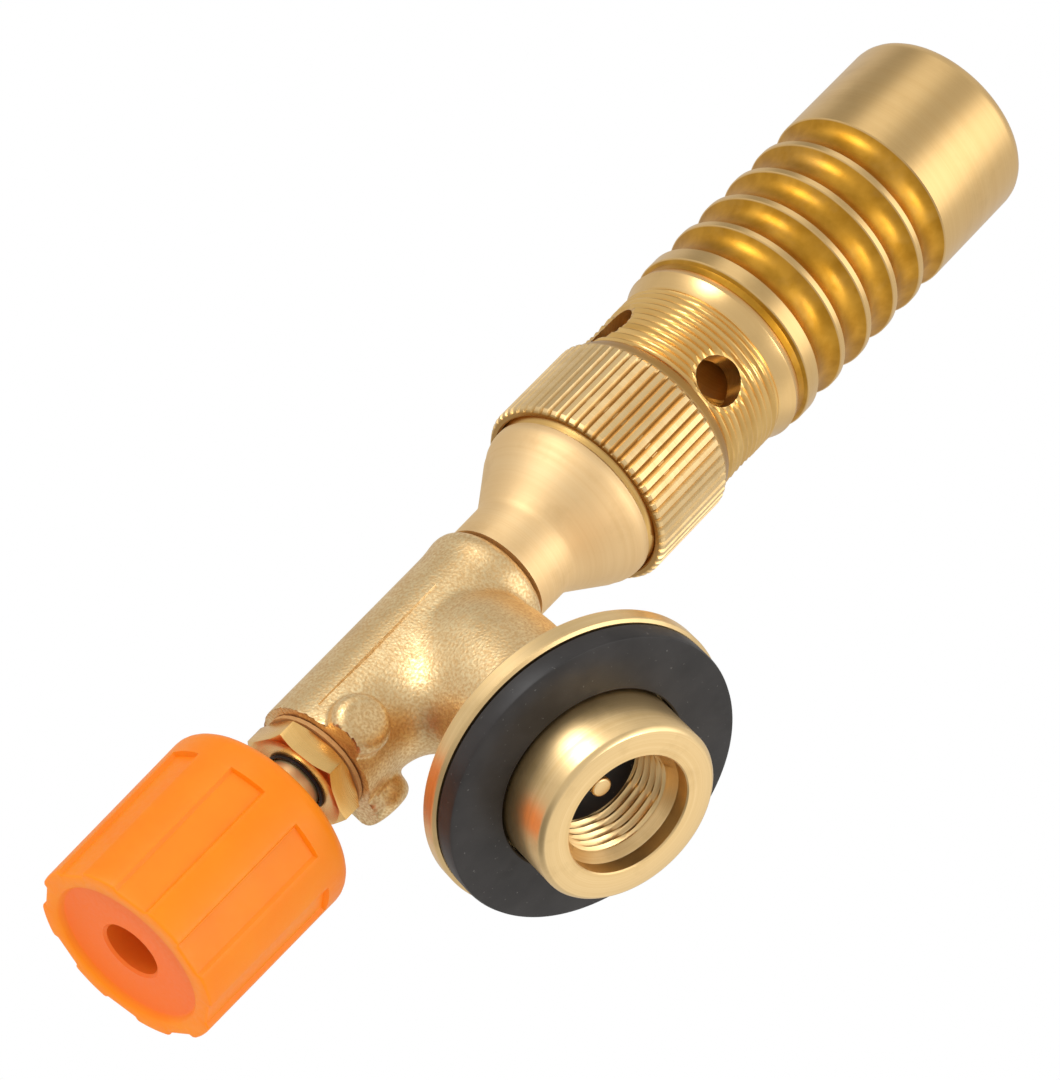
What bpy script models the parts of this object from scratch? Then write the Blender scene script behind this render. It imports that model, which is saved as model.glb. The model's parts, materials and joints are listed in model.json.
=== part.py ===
"""Small brass gas torch head that screws onto a threaded gas cartridge.

The origin is the centre of the connector's mouth, +Z runs up the cartridge axis, and the burner points to +X
and tilts up. Pieces on the burner axis are drawn upright about their own Z, in an empty that stands where
the two axes cross and turns their Z towards the burner's mouth, so their heights are measured from there.
"""

from math import asin, cos, degrees, pi, radians, sin, tan

import bmesh
import bpy
from mathutils import Matrix, Vector

MM = 0.001

# The two axes
AXIS_HEIGHT = 30.25 * MM  # from the connector's mouth up to the crossing
BURNER_TILT = radians(19.8)

# Clearances
SEAT_GAP = 0.2 * MM  # between pieces that rest on, or screw into, each other
RUN_GAP = 0.15 * MM  # round pieces that turn or slide

# Valve body
BARREL_RADIUS = 5.9 * MM
BARREL_REAR = -18.3 * MM
BARREL_FRONT = 7.0 * MM
BARREL_NOSE = 1.8 * MM  # length of the rounded front edge
BRANCH_RADIUS = 7.1 * MM
BRANCH_FLARE = 0.8 * MM  # how much wider the branch is where it meets the disc
LUG_ANGLE = radians(43)  # below the side of the barrel
LUG_HEIGHT = 2.2 * MM
LUG_RADIUS = 2.8 * MM
LUG_TOP_RADIUS = 2.1 * MM
LUG_ROOT = 1.0 * MM  # how deep its foot sits in the barrel
GLAND_BORE = 4.2 * MM
GLAND_DEPTH = 7.3 * MM
GLAND_BORE_END = BARREL_REAR + GLAND_DEPTH
STEM_BORE = 3.1 * MM
STEM_DEPTH = 5.0 * MM
STEM_BORE_END = GLAND_BORE_END + STEM_DEPTH
CHAMBER_RADIUS = 2.3 * MM
NECK_BORE = 4.2 * MM
NECK_DEPTH = 4.0 * MM
OUTLET_END = BARREL_FRONT - NECK_DEPTH
SEAT_RADIUS = 0.8 * MM
SEAT_LENGTH = 1.1 * MM
SEAT_PLACE = OUTLET_END - SEAT_LENGTH
INLET_PASSAGE = 1.6 * MM

# Spindle thread
STEM_PITCH = 0.75 * MM
CLOSING_TURNS = 1.0  # from the pose shown to shut
OPENING_TURNS = 2.0  # from the pose shown to the stop
CLOSING = CLOSING_TURNS * STEM_PITCH
OPENING = OPENING_TURNS * STEM_PITCH

# Gland nut and its washer
WASHER_THICKNESS = 0.4 * MM
NUT_FLATS = 9.7 * MM
NUT_HEIGHT = 2.5 * MM
NUT_TURN = radians(55.4)  # one corner, below the side of the barrel
WIPER_WIDTH = 0.4 * MM  # the black ring round the spindle in the nut's face
WIPER_HEIGHT = 0.45 * MM
NUT_SEAT = BARREL_REAR - WASHER_THICKNESS - 2 * RUN_GAP
NUT_FACE = NUT_SEAT - NUT_HEIGHT

# Spindle, its ring, the knob and the knob's screw
SPINDLE_RADIUS = 2.6 * MM
SPINDLE_SHOWN = 3.85 * MM  # between the nut and the knob
SPINDLE_GRIP = 10.7 * MM  # inside the knob
COLLAR_RADIUS = 3.7 * MM
COLLAR_THICKNESS = 0.7 * MM
NEEDLE_RADIUS = 1.5 * MM
NEEDLE_POINT = 0.2 * MM
NEEDLE_LENGTH = 2.2 * MM
NEEDLE_TIP = SEAT_PLACE - 0.3 * MM
RING_SECTION = 0.42 * MM  # radius of the ring's section

KNOB_REAR = NUT_FACE - SPINDLE_SHOWN
KNOB_LENGTH = 18.95 * MM
KNOB_OUTER = KNOB_REAR - KNOB_LENGTH
SPINDLE_REAR = KNOB_REAR - SPINDLE_GRIP
KNOB_RADIUS = 9.65 * MM
KNOB_DRAFT = 0.2 * MM  # how much narrower the outer end is
KNOB_ROUNDING = 1.6 * MM
KNOB_RIM = 1.9 * MM
KNOB_RECESS = 0.6 * MM
KNOB_HOLE = 2.8 * MM
KNOB_WALL = 2.2 * MM
KNOB_HUB = 4.5 * MM
KNOB_WEB = 1.2 * MM
KNOB_FLOOR = 4.6 * MM  # plastic between the recess and the hollow behind it
FLUTE_COUNT = 8
FLUTE_TURN = radians(19.5)
FLUTE_WIDTH = 3.5 * MM
FLUTE_DEPTH = 0.55 * MM  # at the outer end
FLUTE_END = KNOB_REAR - 3.35 * MM
SCREW_RADIUS = 1.25 * MM
SCREW_HEAD = 2.3 * MM
SCREW_HEAD_HEIGHT = 1.4 * MM
SCREW_LENGTH = 5.0 * MM
SCREW_SLOT = 0.5 * MM

# Connector for the cartridge: 7/16 inch thread, drawn plain at its mean radius
BOSS_RADIUS = 8.92 * MM
MOUTH_RADIUS = 6.0 * MM
MOUTH_DEPTH = 1.5 * MM
THREAD_RADIUS = 5.35 * MM
SOCKET_DEPTH = 8.6 * MM
PAD_FACE = 5.61 * MM
PAD_RADIUS = 14.45 * MM
PAD_THICKNESS = 2.0 * MM
PAD_TOP = PAD_FACE + PAD_THICKNESS
DISC_RADIUS = 14.8 * MM
DISC_THICKNESS = 1.9 * MM
DISC_FOOT = PAD_TOP + SEAT_GAP
DISC_TOP = DISC_FOOT + DISC_THICKNESS
DISC_EDGE = 0.25 * MM  # chamfer
SPIGOT_RADIUS = 5.2 * MM
SPIGOT_LENGTH = 5.0 * MM  # above the disc
SPIGOT_TOP = DISC_TOP + SPIGOT_LENGTH
SEAL_FACE = 6.55 * MM
SEAL_THICKNESS = 1.8 * MM
PIN_RADIUS = 0.95 * MM
PIN_FACE = 4.2 * MM
PIN_FLANGE = 2.6 * MM
PIN_FLANGE_HEIGHT = 0.9 * MM
PIN_STEM = 1.1 * MM
PIN_STEM_LENGTH = 2.2 * MM
PIN_PASSAGE = 0.4 * MM
FILTER_RADIUS = 2.3 * MM
FILTER_HEIGHT = 1.2 * MM
GASKET_THICKNESS = 0.7 * MM
BOSS_CHAMFER = 0.35 * MM
BODY_FOOT = DISC_TOP + SEAT_GAP

# Neck with its cone
NECK_RADIUS = 5.38 * MM
NECK_START = BARREL_FRONT + SEAT_GAP
NECK_LENGTH = 4.4 * MM
CONE_LENGTH = 5.7 * MM
CONE_RADIUS = 8.85 * MM
CONE_BAND = 1.35 * MM
CONE_RIM = NECK_START + NECK_LENGTH + CONE_LENGTH + CONE_BAND
NECK_SPIGOT = 7.0 * MM
NECK_SPIGOT_LENGTH = 6.55 * MM
NECK_SPIGOT_END = CONE_RIM + NECK_SPIGOT_LENGTH
GAS_PASSAGE = 1.2 * MM

# Jet
HOLDER_THREAD = 2.3 * MM
HOLDER_RADIUS = 2.6 * MM
HOLDER_FLANGE = 3.6 * MM
HOLDER_FLANGE_HEIGHT = 2.0 * MM
HOLDER_LENGTH = 4.2 * MM  # each side of the flange
JET_THREAD = 1.5 * MM
JET_RADIUS = 2.1 * MM
JET_LENGTH = 3.0 * MM  # each side of the shoulder
JET_BORE = 0.25 * MM
JET_FILTER = 1.2 * MM

# Air sleeve and the air holes that it covers
TUBE_WALL = 1.6 * MM
TUBE_THREAD = NECK_SPIGOT + SEAT_GAP + TUBE_WALL
SLEEVE_WALL = 0.9 * MM
SLEEVE_RADIUS = TUBE_THREAD + SEAT_GAP + SLEEVE_WALL
SLEEVE_REAR = CONE_RIM + 0.5 * MM
SLEEVE_LENGTH = 11.35 * MM
SLEEVE_FRONT = SLEEVE_REAR + SLEEVE_LENGTH
SLEEVE_CHAMFER = 0.45 * MM
SLEEVE_NOSE = 1.2 * MM
FRICTION_WIRE = 0.25 * MM  # radius of the ring's section
AIR_HOLE_COUNT = 4
AIR_HOLE_RADIUS = 2.43 * MM
AIR_HOLE_TURN = radians(52.5)
AIR_HOLE_SHOWN = 0.52 * MM  # between the sleeve's nose and a hole's edge
AIR_HOLE_PLACE = SLEEVE_FRONT + AIR_HOLE_SHOWN + AIR_HOLE_RADIUS
SLEEVE_COVER = 2.12 * MM  # how far the shut sleeve goes past the holes
SLEEVE_TRAVEL = AIR_HOLE_SHOWN + 2 * AIR_HOLE_RADIUS + SLEEVE_COVER

# Burner tube
TUBE_REAR = CONE_RIM + SEAT_GAP
TUBE_THREAD_END = SLEEVE_FRONT + SLEEVE_TRAVEL + 0.9 * MM
AIR_CHAMBER = 6.6 * MM
AIR_CHAMBER_END = TUBE_THREAD_END + 0.1 * MM
SHOULDER_LENGTH = 1.3 * MM
SHOULDER_RISE = 0.98 * MM
SHOULDER_END = TUBE_THREAD_END + SHOULDER_LENGTH
UNDERCUT_WIDTH = 1.75 * MM
UNDERCUT_DEPTH = 0.45 * MM
BAND_START = SHOULDER_END + UNDERCUT_WIDTH
BAND_WIDTH = 1.675 * MM
RIB_RADIUS = 9.9 * MM
GROOVE_COUNT = 5
GROOVE_SPACING = 4.27 * MM
GROOVE_WIDTH = 3.5 * MM
GROOVE_DEPTH = 0.95 * MM
GROOVE_FIRST = BAND_START + BAND_WIDTH + GROOVE_WIDTH / 2  # middle of the groove nearest the sleeve
GROOVES_END = GROOVE_FIRST + GROOVE_SPACING * (GROOVE_COUNT - 1) + GROOVE_WIDTH / 2
HEAD_RADIUS = 9.93 * MM
HEAD_LENGTH = 13.5 * MM
HEAD_END = GROOVES_END + HEAD_LENGTH
HEAD_ROUNDING = 1.6 * MM
CUP_WALL = 1.73 * MM
CUP_RADIUS = HEAD_RADIUS - CUP_WALL
CUP_DEPTH = 11.4 * MM
CUP_FLOOR = HEAD_END - CUP_DEPTH

# Inside the burner tube
MIXER_RADIUS = 4.9 * MM
MIXER_MOUTH = 4.3 * MM
THROAT_RADIUS = 3.2 * MM
THROAT_DEPTH = 7.0 * MM
HOLDER_DISC = 3.6 * MM  # thickness of the flame holder
PORT_COUNT = 12
PORT_RADIUS = 0.7 * MM
PORT_CENTRE = 3.2 * MM

COARSE, FINE = 14, 30  # sides of small and of large round pieces

BRASS = (0.80, 0.60, 0.28)
FINISHES = {
    "forged_brass": (BRASS, 0.55, 1.0),
    "turned_brass": (BRASS, 0.30, 1.0),
    "burner_brass": ((0.78, 0.54, 0.20), 0.25, 1.0),
    "orange_plastic": ((1.0, 0.28, 0.03), 0.45, 0.0),
    "black_rubber": ((0.03, 0.03, 0.032), 0.60, 0.0),
    "white_ptfe": ((0.85, 0.85, 0.82), 0.50, 0.0),
    "zinc_steel": ((0.60, 0.61, 0.63), 0.35, 1.0),
    "sintered_bronze": ((0.55, 0.38, 0.20), 0.80, 0.8),
}


def clear_scene():
    for obj in list(bpy.data.objects):
        bpy.data.objects.remove(obj, do_unlink=True)


def new_collection(name):
    collection = bpy.data.collections.new(name)
    bpy.context.scene.collection.children.link(collection)
    return collection


def make_finish(name):
    colour, roughness, metallic = FINISHES[name]
    material = bpy.data.materials.new(name)
    material.use_nodes = True
    shader = material.node_tree.nodes["Principled BSDF"]
    shader.inputs["Base Color"].default_value = (*colour, 1.0)
    shader.inputs["Roughness"].default_value = roughness
    shader.inputs["Metallic"].default_value = metallic
    return material


clear_scene()
PARTS = new_collection("gas_torch")
CUTTERS = new_collection("gas_torch_cutters")
MATERIALS = {name: make_finish(name) for name in FINISHES}


def make_empty(name, place, turn):
    empty = bpy.data.objects.new(name, None)
    empty.empty_display_size = 5 * MM
    empty.location = place
    empty.rotation_euler = turn
    PARTS.objects.link(empty)
    return empty


CARTRIDGE_AXIS = make_empty("cartridge_axis", (0, 0, 0), (0, 0, 0))
BURNER_AXIS = make_empty("burner_axis", (0, 0, AXIS_HEIGHT), (0, pi / 2 - BURNER_TILT, 0))


def direction(angle):
    """Unit vector across the burner axis, "angle" below the side of the barrel that faces -Y."""
    return Vector((sin(angle), -cos(angle), 0))


def arc(centre, radius, start, end, steps=4):
    """Points on an arc of a profile. Angles are in degrees, 0 outwards and 90 up."""
    angles = [radians(start + (end - start) * i / steps) for i in range(steps + 1)]
    return [(centre[0] + radius * cos(t), centre[1] + radius * sin(t)) for t in angles]


def place_in(obj, collection, parent):
    for old in list(obj.users_collection):
        old.objects.unlink(obj)
    collection.objects.link(obj)
    obj.parent = parent
    if collection is CUTTERS:
        obj.hide_render = True
        obj.display_type = "WIRE"


def turned(name, profile, parent, sides=FINE, finish=None, ring=True):
    """A turned piece. The profile runs down the outside, then, on a ring, back up the inside."""
    count = len(profile)
    edges = [(i, i + 1) for i in range(count - 1)]
    if ring:
        edges.append((count - 1, 0))
    mesh = bpy.data.meshes.new(name)
    mesh.from_pydata([(r, 0, z) for r, z in profile], edges, [])
    obj = bpy.data.objects.new(name, mesh)
    place_in(obj, PARTS if finish else CUTTERS, parent)
    screw = obj.modifiers.new("Turn", "SCREW")
    screw.steps = screw.render_steps = sides
    screw.use_merge_vertices = True
    screw.merge_threshold = 0.00001
    screw.use_smooth_shade = True
    if finish:
        mesh.materials.append(MATERIALS[finish])
    return obj


def from_bmesh(name, shape, parent, finish=None):
    mesh = bpy.data.meshes.new(name)
    bmesh.ops.recalc_face_normals(shape, faces=shape.faces)
    shape.to_mesh(mesh)
    shape.free()
    obj = bpy.data.objects.new(name, mesh)
    place_in(obj, PARTS if finish else CUTTERS, parent)
    if finish:
        mesh.materials.append(MATERIALS[finish])
    return obj


def rods(name, places, radius, length, parent, sides=COARSE):
    """Straight round cutters in one object. Each place is (middle, direction)."""
    shape = bmesh.new()
    for middle, along in places:
        matrix = Matrix.Translation(middle) @ along.to_track_quat("Z", "Y").to_matrix().to_4x4()
        bmesh.ops.create_cone(
            shape, cap_ends=True, segments=sides, radius1=radius, radius2=radius, depth=length, matrix=matrix
        )
    return from_bmesh(name, shape, parent)


def combine(obj, other, operation="DIFFERENCE"):
    modifier = obj.modifiers.new(other.name, "BOOLEAN")
    modifier.operation = operation
    modifier.object = other


def make_valve_body():
    """Forged barrel, with the branch down to the connector and a lug on each side near the gland."""
    top, rear = BARREL_FRONT, BARREL_REAR
    nose = [
        (NECK_RADIUS - 0.1 * MM, top),
        (BARREL_RADIUS - 0.22 * MM, top - 0.45 * BARREL_NOSE),
        (BARREL_RADIUS, top - BARREL_NOSE),
    ]
    tail = [(BARREL_RADIUS, rear + 0.5 * MM), (BARREL_RADIUS - 0.4 * MM, rear), (0, rear)]
    body = turned("valve_body", [(0, top), *nose, *tail], BURNER_AXIS, finish="forged_brass", ring=False)

    foot = BODY_FOOT
    r = BRANCH_RADIUS
    crown = AXIS_HEIGHT - 0.14 * BARREL_RADIUS
    shoulder = AXIS_HEIGHT - 1.4 * BARREL_RADIUS
    dome = [(0, crown), (0.56 * r, crown), (0.79 * r, crown - 0.35 * (crown - shoulder)), (r, shoulder)]
    waist = r + 0.3 * BRANCH_FLARE
    flare = [(r, foot + 3.0 * MM), (waist, foot + 1.2 * MM), (r + BRANCH_FLARE, foot), (0, foot)]
    branch = turned("branch_form", [*dome, *flare], CARTRIDGE_AXIS, ring=False)
    combine(body, branch, "UNION")

    for side in (1, -1):
        out = Vector((sin(LUG_ANGLE), -side * cos(LUG_ANGLE), 0))
        depth = LUG_HEIGHT + LUG_ROOT
        middle = out * (BARREL_RADIUS + LUG_HEIGHT - depth / 2) + Vector((0, 0, rear + LUG_RADIUS + 0.1 * MM))
        matrix = Matrix.Translation(middle) @ out.to_track_quat("Z", "Y").to_matrix().to_4x4()
        shape = bmesh.new()
        bmesh.ops.create_cone(
            shape,
            cap_ends=True,
            segments=16,
            radius1=LUG_RADIUS,
            radius2=LUG_TOP_RADIUS,
            depth=depth,
            matrix=matrix,
        )
        combine(body, from_bmesh(f"lug_form_{side}", shape, BURNER_AXIS), "UNION")

    bore = [
        (0, top + 1 * MM),
        (NECK_BORE, top + 1 * MM),
        (NECK_BORE, OUTLET_END),
        (SEAT_RADIUS, OUTLET_END),
        (SEAT_RADIUS, SEAT_PLACE),
        (CHAMBER_RADIUS, SEAT_PLACE),
        (CHAMBER_RADIUS, STEM_BORE_END),
        (STEM_BORE, STEM_BORE_END),
        (STEM_BORE, GLAND_BORE_END),
        (GLAND_BORE, GLAND_BORE_END),
        (GLAND_BORE, rear - 1 * MM),
        (0, rear - 1 * MM),
    ]
    combine(body, turned("barrel_bore", bore, BURNER_AXIS, COARSE, ring=False))
    socket = SPIGOT_RADIUS + SEAT_GAP
    socket_top = SPIGOT_TOP + GASKET_THICKNESS + 2 * SEAT_GAP
    inlet = [
        (0, AXIS_HEIGHT),
        (INLET_PASSAGE, AXIS_HEIGHT),
        (INLET_PASSAGE, socket_top),
        (socket, socket_top),
        (socket, foot - 1 * MM),
        (0, foot - 1 * MM),
    ]
    combine(body, turned("branch_bore", inlet, CARTRIDGE_AXIS, COARSE, ring=False))


def make_gland():
    """Hexagon gland nut, its spigot in the body, the washer under it and the black ring in its face."""
    washer_top = BARREL_REAR - RUN_GAP
    washer_foot = washer_top - WASHER_THICKNESS
    spigot = GLAND_BORE - SEAT_GAP
    bore = SPINDLE_RADIUS + RUN_GAP
    washer = [
        (NUT_FLATS / 2 + 0.3 * MM, washer_top),
        (NUT_FLATS / 2 + 0.3 * MM, washer_foot),
        (spigot + SEAT_GAP, washer_foot),
        (spigot + SEAT_GAP, washer_top),
    ]
    turned("gland_washer", washer, BURNER_AXIS, FINE, "black_rubber")

    seat, face = NUT_SEAT, NUT_FACE
    flat = NUT_FLATS / 2
    corner = flat / cos(pi / 6)
    cut = (corner - flat) * tan(radians(32))
    form = [
        (0, seat),
        (flat + 0.3 * MM, seat),
        (corner, seat - 0.3 * MM),
        (corner, face + cut + 0.35 * MM),
        (flat - 0.35 * MM, face),
        (0, face),
    ]
    shape = bmesh.new()
    matrix = Matrix.Translation((0, 0, (seat + face) / 2)) @ Matrix.Rotation(NUT_TURN, 4, "Z")
    bmesh.ops.create_cone(
        shape, cap_ends=True, segments=6, radius1=corner, radius2=corner, depth=NUT_HEIGHT, matrix=matrix
    )
    nut = from_bmesh("gland_nut", shape, BURNER_AXIS, "turned_brass")
    combine(nut, turned("nut_form", form, BURNER_AXIS, FINE, ring=False), "INTERSECT")
    end = GLAND_BORE_END - CLOSING - OPENING - COLLAR_THICKNESS - 2 * SEAT_GAP
    root = seat - 1 * MM
    spigot_form = [(0, end), (spigot, end), (spigot, root), (0, root)]
    combine(nut, turned("nut_spigot", spigot_form, BURNER_AXIS, COARSE, ring=False), "UNION")
    middle = Vector((0, 0, (end + face) / 2))
    combine(nut, rods("nut_bore", [(middle, Vector((0, 0, 1)))], bore, end - face + 2 * MM, BURNER_AXIS))
    sunk = bore + WIPER_WIDTH + SEAT_GAP
    floor = face + WIPER_HEIGHT + SEAT_GAP
    recess = [(0, floor), (sunk, floor), (sunk, face - 1 * MM), (0, face - 1 * MM)]
    combine(nut, turned("nut_recess", recess, BURNER_AXIS, COARSE, ring=False))
    top, outer = floor - SEAT_GAP, bore + WIPER_WIDTH
    wiper = [(outer, top), (outer, face), (bore, face), (bore, top)]
    turned("spindle_wiper", wiper, BURNER_AXIS, COARSE, "black_rubber")


def make_spindle():
    """Needle spindle. Its collar stays between the gland nut and the step of the body's bore."""
    collar_top = GLAND_BORE_END - CLOSING - SEAT_GAP
    collar_foot = collar_top - COLLAR_THICKNESS
    land = STEM_BORE - SEAT_GAP
    groove = STEM_BORE - RUN_GAP - 2 * RING_SECTION - RUN_GAP
    half = RING_SECTION + RUN_GAP
    land_top = STEM_BORE_END - CLOSING - 0.8 * MM
    ring_place = land_top - 0.4 * MM - half
    bore = SCREW_RADIUS + SEAT_GAP
    bore_end = SPINDLE_REAR + SCREW_LENGTH
    outside = [
        (0, NEEDLE_TIP),
        (NEEDLE_POINT, NEEDLE_TIP),
        (NEEDLE_RADIUS, NEEDLE_TIP - NEEDLE_LENGTH),
        (NEEDLE_RADIUS, land_top + 0.4 * MM),
        (land, land_top),
        (land, ring_place + half),
        (groove, ring_place + half),
        (groove, ring_place - half),
        (land, ring_place - half),
        (land, collar_top),
        (COLLAR_RADIUS, collar_top),
        (COLLAR_RADIUS, collar_foot),
        (SPINDLE_RADIUS, collar_foot),
        (SPINDLE_RADIUS, SPINDLE_REAR + 0.4 * MM),
        (SPINDLE_RADIUS - 0.4 * MM, SPINDLE_REAR),
        (bore, SPINDLE_REAR),
        (bore, bore_end),
        (0, bore_end + 0.8 * MM),
    ]
    turned("spindle", outside, BURNER_AXIS, COARSE, "turned_brass", ring=False)
    middle = (groove + RUN_GAP + RING_SECTION, ring_place)
    ring = arc(middle, RING_SECTION, 180, -180, 6)[:-1]
    turned("spindle_o_ring", ring, BURNER_AXIS, COARSE, "black_rubber")


def make_knob():
    """Moulded knob: draft, rounded rear edge, recessed end face, screw hole, hollow back and long flutes."""
    rear, outer = KNOB_REAR, KNOB_OUTER
    narrow = KNOB_RADIUS - KNOB_DRAFT
    web_top = SPINDLE_REAR - SEAT_GAP
    web_foot = web_top - KNOB_WEB
    floor_top = outer + KNOB_RECESS + KNOB_FLOOR
    bore = SPINDLE_RADIUS + RUN_GAP
    corner = (KNOB_RADIUS - KNOB_ROUNDING, rear - KNOB_ROUNDING)
    profile = [
        *arc(corner, KNOB_ROUNDING, 90, 0, 4),
        (narrow, outer + 0.3 * MM),
        (narrow - 0.3 * MM, outer),
        (narrow - KNOB_RIM, outer),
        (narrow - KNOB_RIM - 0.15 * MM, outer + KNOB_RECESS),
        (KNOB_HOLE, outer + KNOB_RECESS),
        (KNOB_HOLE, web_foot),
        (SCREW_RADIUS + SEAT_GAP, web_foot),
        (SCREW_RADIUS + SEAT_GAP, web_top),
        (bore, web_top),
        (bore, rear),
        (KNOB_HUB, rear),
        (KNOB_HUB, floor_top),
        (KNOB_RADIUS - KNOB_WALL, floor_top),
        (KNOB_RADIUS - KNOB_WALL, rear),
    ]
    knob = turned("control_knob", profile, BURNER_AXIS, FINE, "orange_plastic")
    base = narrow - FLUTE_DEPTH
    depth = KNOB_RADIUS
    length = FLUTE_END - outer + 1 * MM
    shape = bmesh.new()
    for i in range(FLUTE_COUNT):
        angle = FLUTE_TURN + 2 * pi * i / FLUTE_COUNT
        out = direction(angle) * (base + depth / 2)
        turn = Matrix.Rotation(angle - pi / 2, 4, "Z")
        size = Matrix.Diagonal((depth, FLUTE_WIDTH, length, 1))
        lift = Matrix.Translation((out.x, out.y, FLUTE_END - length / 2))
        bmesh.ops.create_cube(shape, size=1, matrix=lift @ turn @ size)
    combine(knob, from_bmesh("knob_flutes", shape, BURNER_AXIS))

    seat = web_foot - SEAT_GAP
    slot_end = seat - 0.5 * SCREW_HEAD_HEIGHT
    screw = [
        (0, seat + SCREW_LENGTH),
        (SCREW_RADIUS, seat + SCREW_LENGTH),
        (SCREW_RADIUS, seat),
        (SCREW_HEAD, seat),
        (SCREW_HEAD, seat - 0.6 * SCREW_HEAD_HEIGHT),
        (0.7 * SCREW_HEAD, seat - SCREW_HEAD_HEIGHT),
        (0, seat - SCREW_HEAD_HEIGHT),
    ]
    body = turned("knob_screw", screw, BURNER_AXIS, COARSE, "zinc_steel", ring=False)
    for number, angle in enumerate((pi / 4, 3 * pi / 4)):
        shape = bmesh.new()
        size = Matrix.Diagonal((1.3 * SCREW_HEAD, SCREW_SLOT, SCREW_HEAD_HEIGHT, 1))
        lift = Matrix.Translation((0, 0, slot_end - SCREW_HEAD_HEIGHT / 2))
        bmesh.ops.create_cube(shape, size=1, matrix=lift @ Matrix.Rotation(angle, 4, "Z") @ size)
        combine(body, from_bmesh(f"screw_slot_{number}", shape, BURNER_AXIS))


def make_connector():
    """Threaded boss, brass disc, rubber pad, and the seal, pin, filter and gasket inside."""
    hole = SPIGOT_RADIUS + SEAT_GAP
    disc = [
        (DISC_RADIUS - DISC_EDGE, DISC_TOP),
        (DISC_RADIUS, DISC_TOP - DISC_EDGE),
        (DISC_RADIUS, DISC_FOOT + DISC_EDGE),
        (DISC_RADIUS - DISC_EDGE, DISC_FOOT),
        (hole, DISC_FOOT),
        (hole, DISC_TOP),
    ]
    turned("canister_disc", disc, CARTRIDGE_AXIS, FINE, "turned_brass")
    pad = [
        (PAD_RADIUS, PAD_TOP),
        (PAD_RADIUS, PAD_FACE + DISC_EDGE),
        (PAD_RADIUS - DISC_EDGE, PAD_FACE),
        (BOSS_RADIUS + SEAT_GAP, PAD_FACE),
        (BOSS_RADIUS + SEAT_GAP, PAD_TOP),
    ]
    turned("pad_washer", pad, CARTRIDGE_AXIS, FINE, "black_rubber")

    boss_top = DISC_FOOT - SEAT_GAP
    flange_top = SOCKET_DEPTH + PIN_FLANGE_HEIGHT
    recess_top = flange_top + SEAT_GAP
    filter_foot = SPIGOT_TOP - FILTER_HEIGHT - SEAT_GAP
    filter_seat = filter_foot - SEAT_GAP
    boss = [
        (SPIGOT_RADIUS, SPIGOT_TOP),
        (SPIGOT_RADIUS, boss_top),
        (BOSS_RADIUS, boss_top),
        (BOSS_RADIUS, BOSS_CHAMFER),
        (BOSS_RADIUS - BOSS_CHAMFER, 0),
        (MOUTH_RADIUS, 0),
        (MOUTH_RADIUS, MOUTH_DEPTH),
        (THREAD_RADIUS, MOUTH_DEPTH + MOUTH_RADIUS - THREAD_RADIUS),
        (THREAD_RADIUS, SOCKET_DEPTH),
        (PIN_FLANGE + SEAT_GAP, SOCKET_DEPTH),
        (PIN_FLANGE + SEAT_GAP, recess_top),
        (PIN_STEM + SEAT_GAP, recess_top),
        (PIN_STEM + SEAT_GAP, filter_seat),
        (FILTER_RADIUS + SEAT_GAP, filter_seat),
        (FILTER_RADIUS + SEAT_GAP, SPIGOT_TOP),
    ]
    turned("inlet_boss", boss, CARTRIDGE_AXIS, FINE, "turned_brass")

    seal_top = SEAL_FACE + SEAL_THICKNESS
    seal = [
        (THREAD_RADIUS - SEAT_GAP, seal_top),
        (THREAD_RADIUS - SEAT_GAP, SEAL_FACE),
        (PIN_RADIUS + 0.8 * MM, SEAL_FACE),
        (PIN_RADIUS + SEAT_GAP, SEAL_FACE + 0.6 * MM),
        (PIN_RADIUS + SEAT_GAP, seal_top),
    ]
    turned("inlet_seal", seal, CARTRIDGE_AXIS, COARSE, "black_rubber")

    stem_top = flange_top + PIN_STEM_LENGTH
    passage_end = PIN_FACE + 1.0 * MM
    pin = [
        (0, passage_end),
        (PIN_PASSAGE, passage_end),
        (PIN_PASSAGE, stem_top),
        (PIN_STEM, stem_top),
        (PIN_STEM, flange_top),
        (PIN_FLANGE, flange_top),
        (PIN_FLANGE, SOCKET_DEPTH),
        (PIN_RADIUS, SOCKET_DEPTH),
        (PIN_RADIUS, PIN_FACE + 0.2 * MM),
        (PIN_RADIUS - 0.2 * MM, PIN_FACE),
        (0, PIN_FACE),
    ]
    depressor = turned("depressor_pin", pin, CARTRIDGE_AXIS, COARSE, "turned_brass", ring=False)
    port = [(Vector((0, 0, passage_end + 0.6 * MM)), Vector((0, 1, 0)))]
    combine(depressor, rods("pin_port", port, 0.3 * MM, 4 * PIN_RADIUS, CARTRIDGE_AXIS, 10))

    filter_top = filter_foot + FILTER_HEIGHT
    disc_filter = [(0, filter_top), (FILTER_RADIUS, filter_top), (FILTER_RADIUS, filter_foot), (0, filter_foot)]
    turned("inlet_filter", disc_filter, CARTRIDGE_AXIS, COARSE, "sintered_bronze", ring=False)
    low = SPIGOT_TOP + SEAT_GAP
    high = low + GASKET_THICKNESS
    gasket = [(SPIGOT_RADIUS, high), (SPIGOT_RADIUS, low), (FILTER_RADIUS, low), (FILTER_RADIUS, high)]
    turned("inlet_gasket", gasket, CARTRIDGE_AXIS, COARSE, "white_ptfe")


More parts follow.
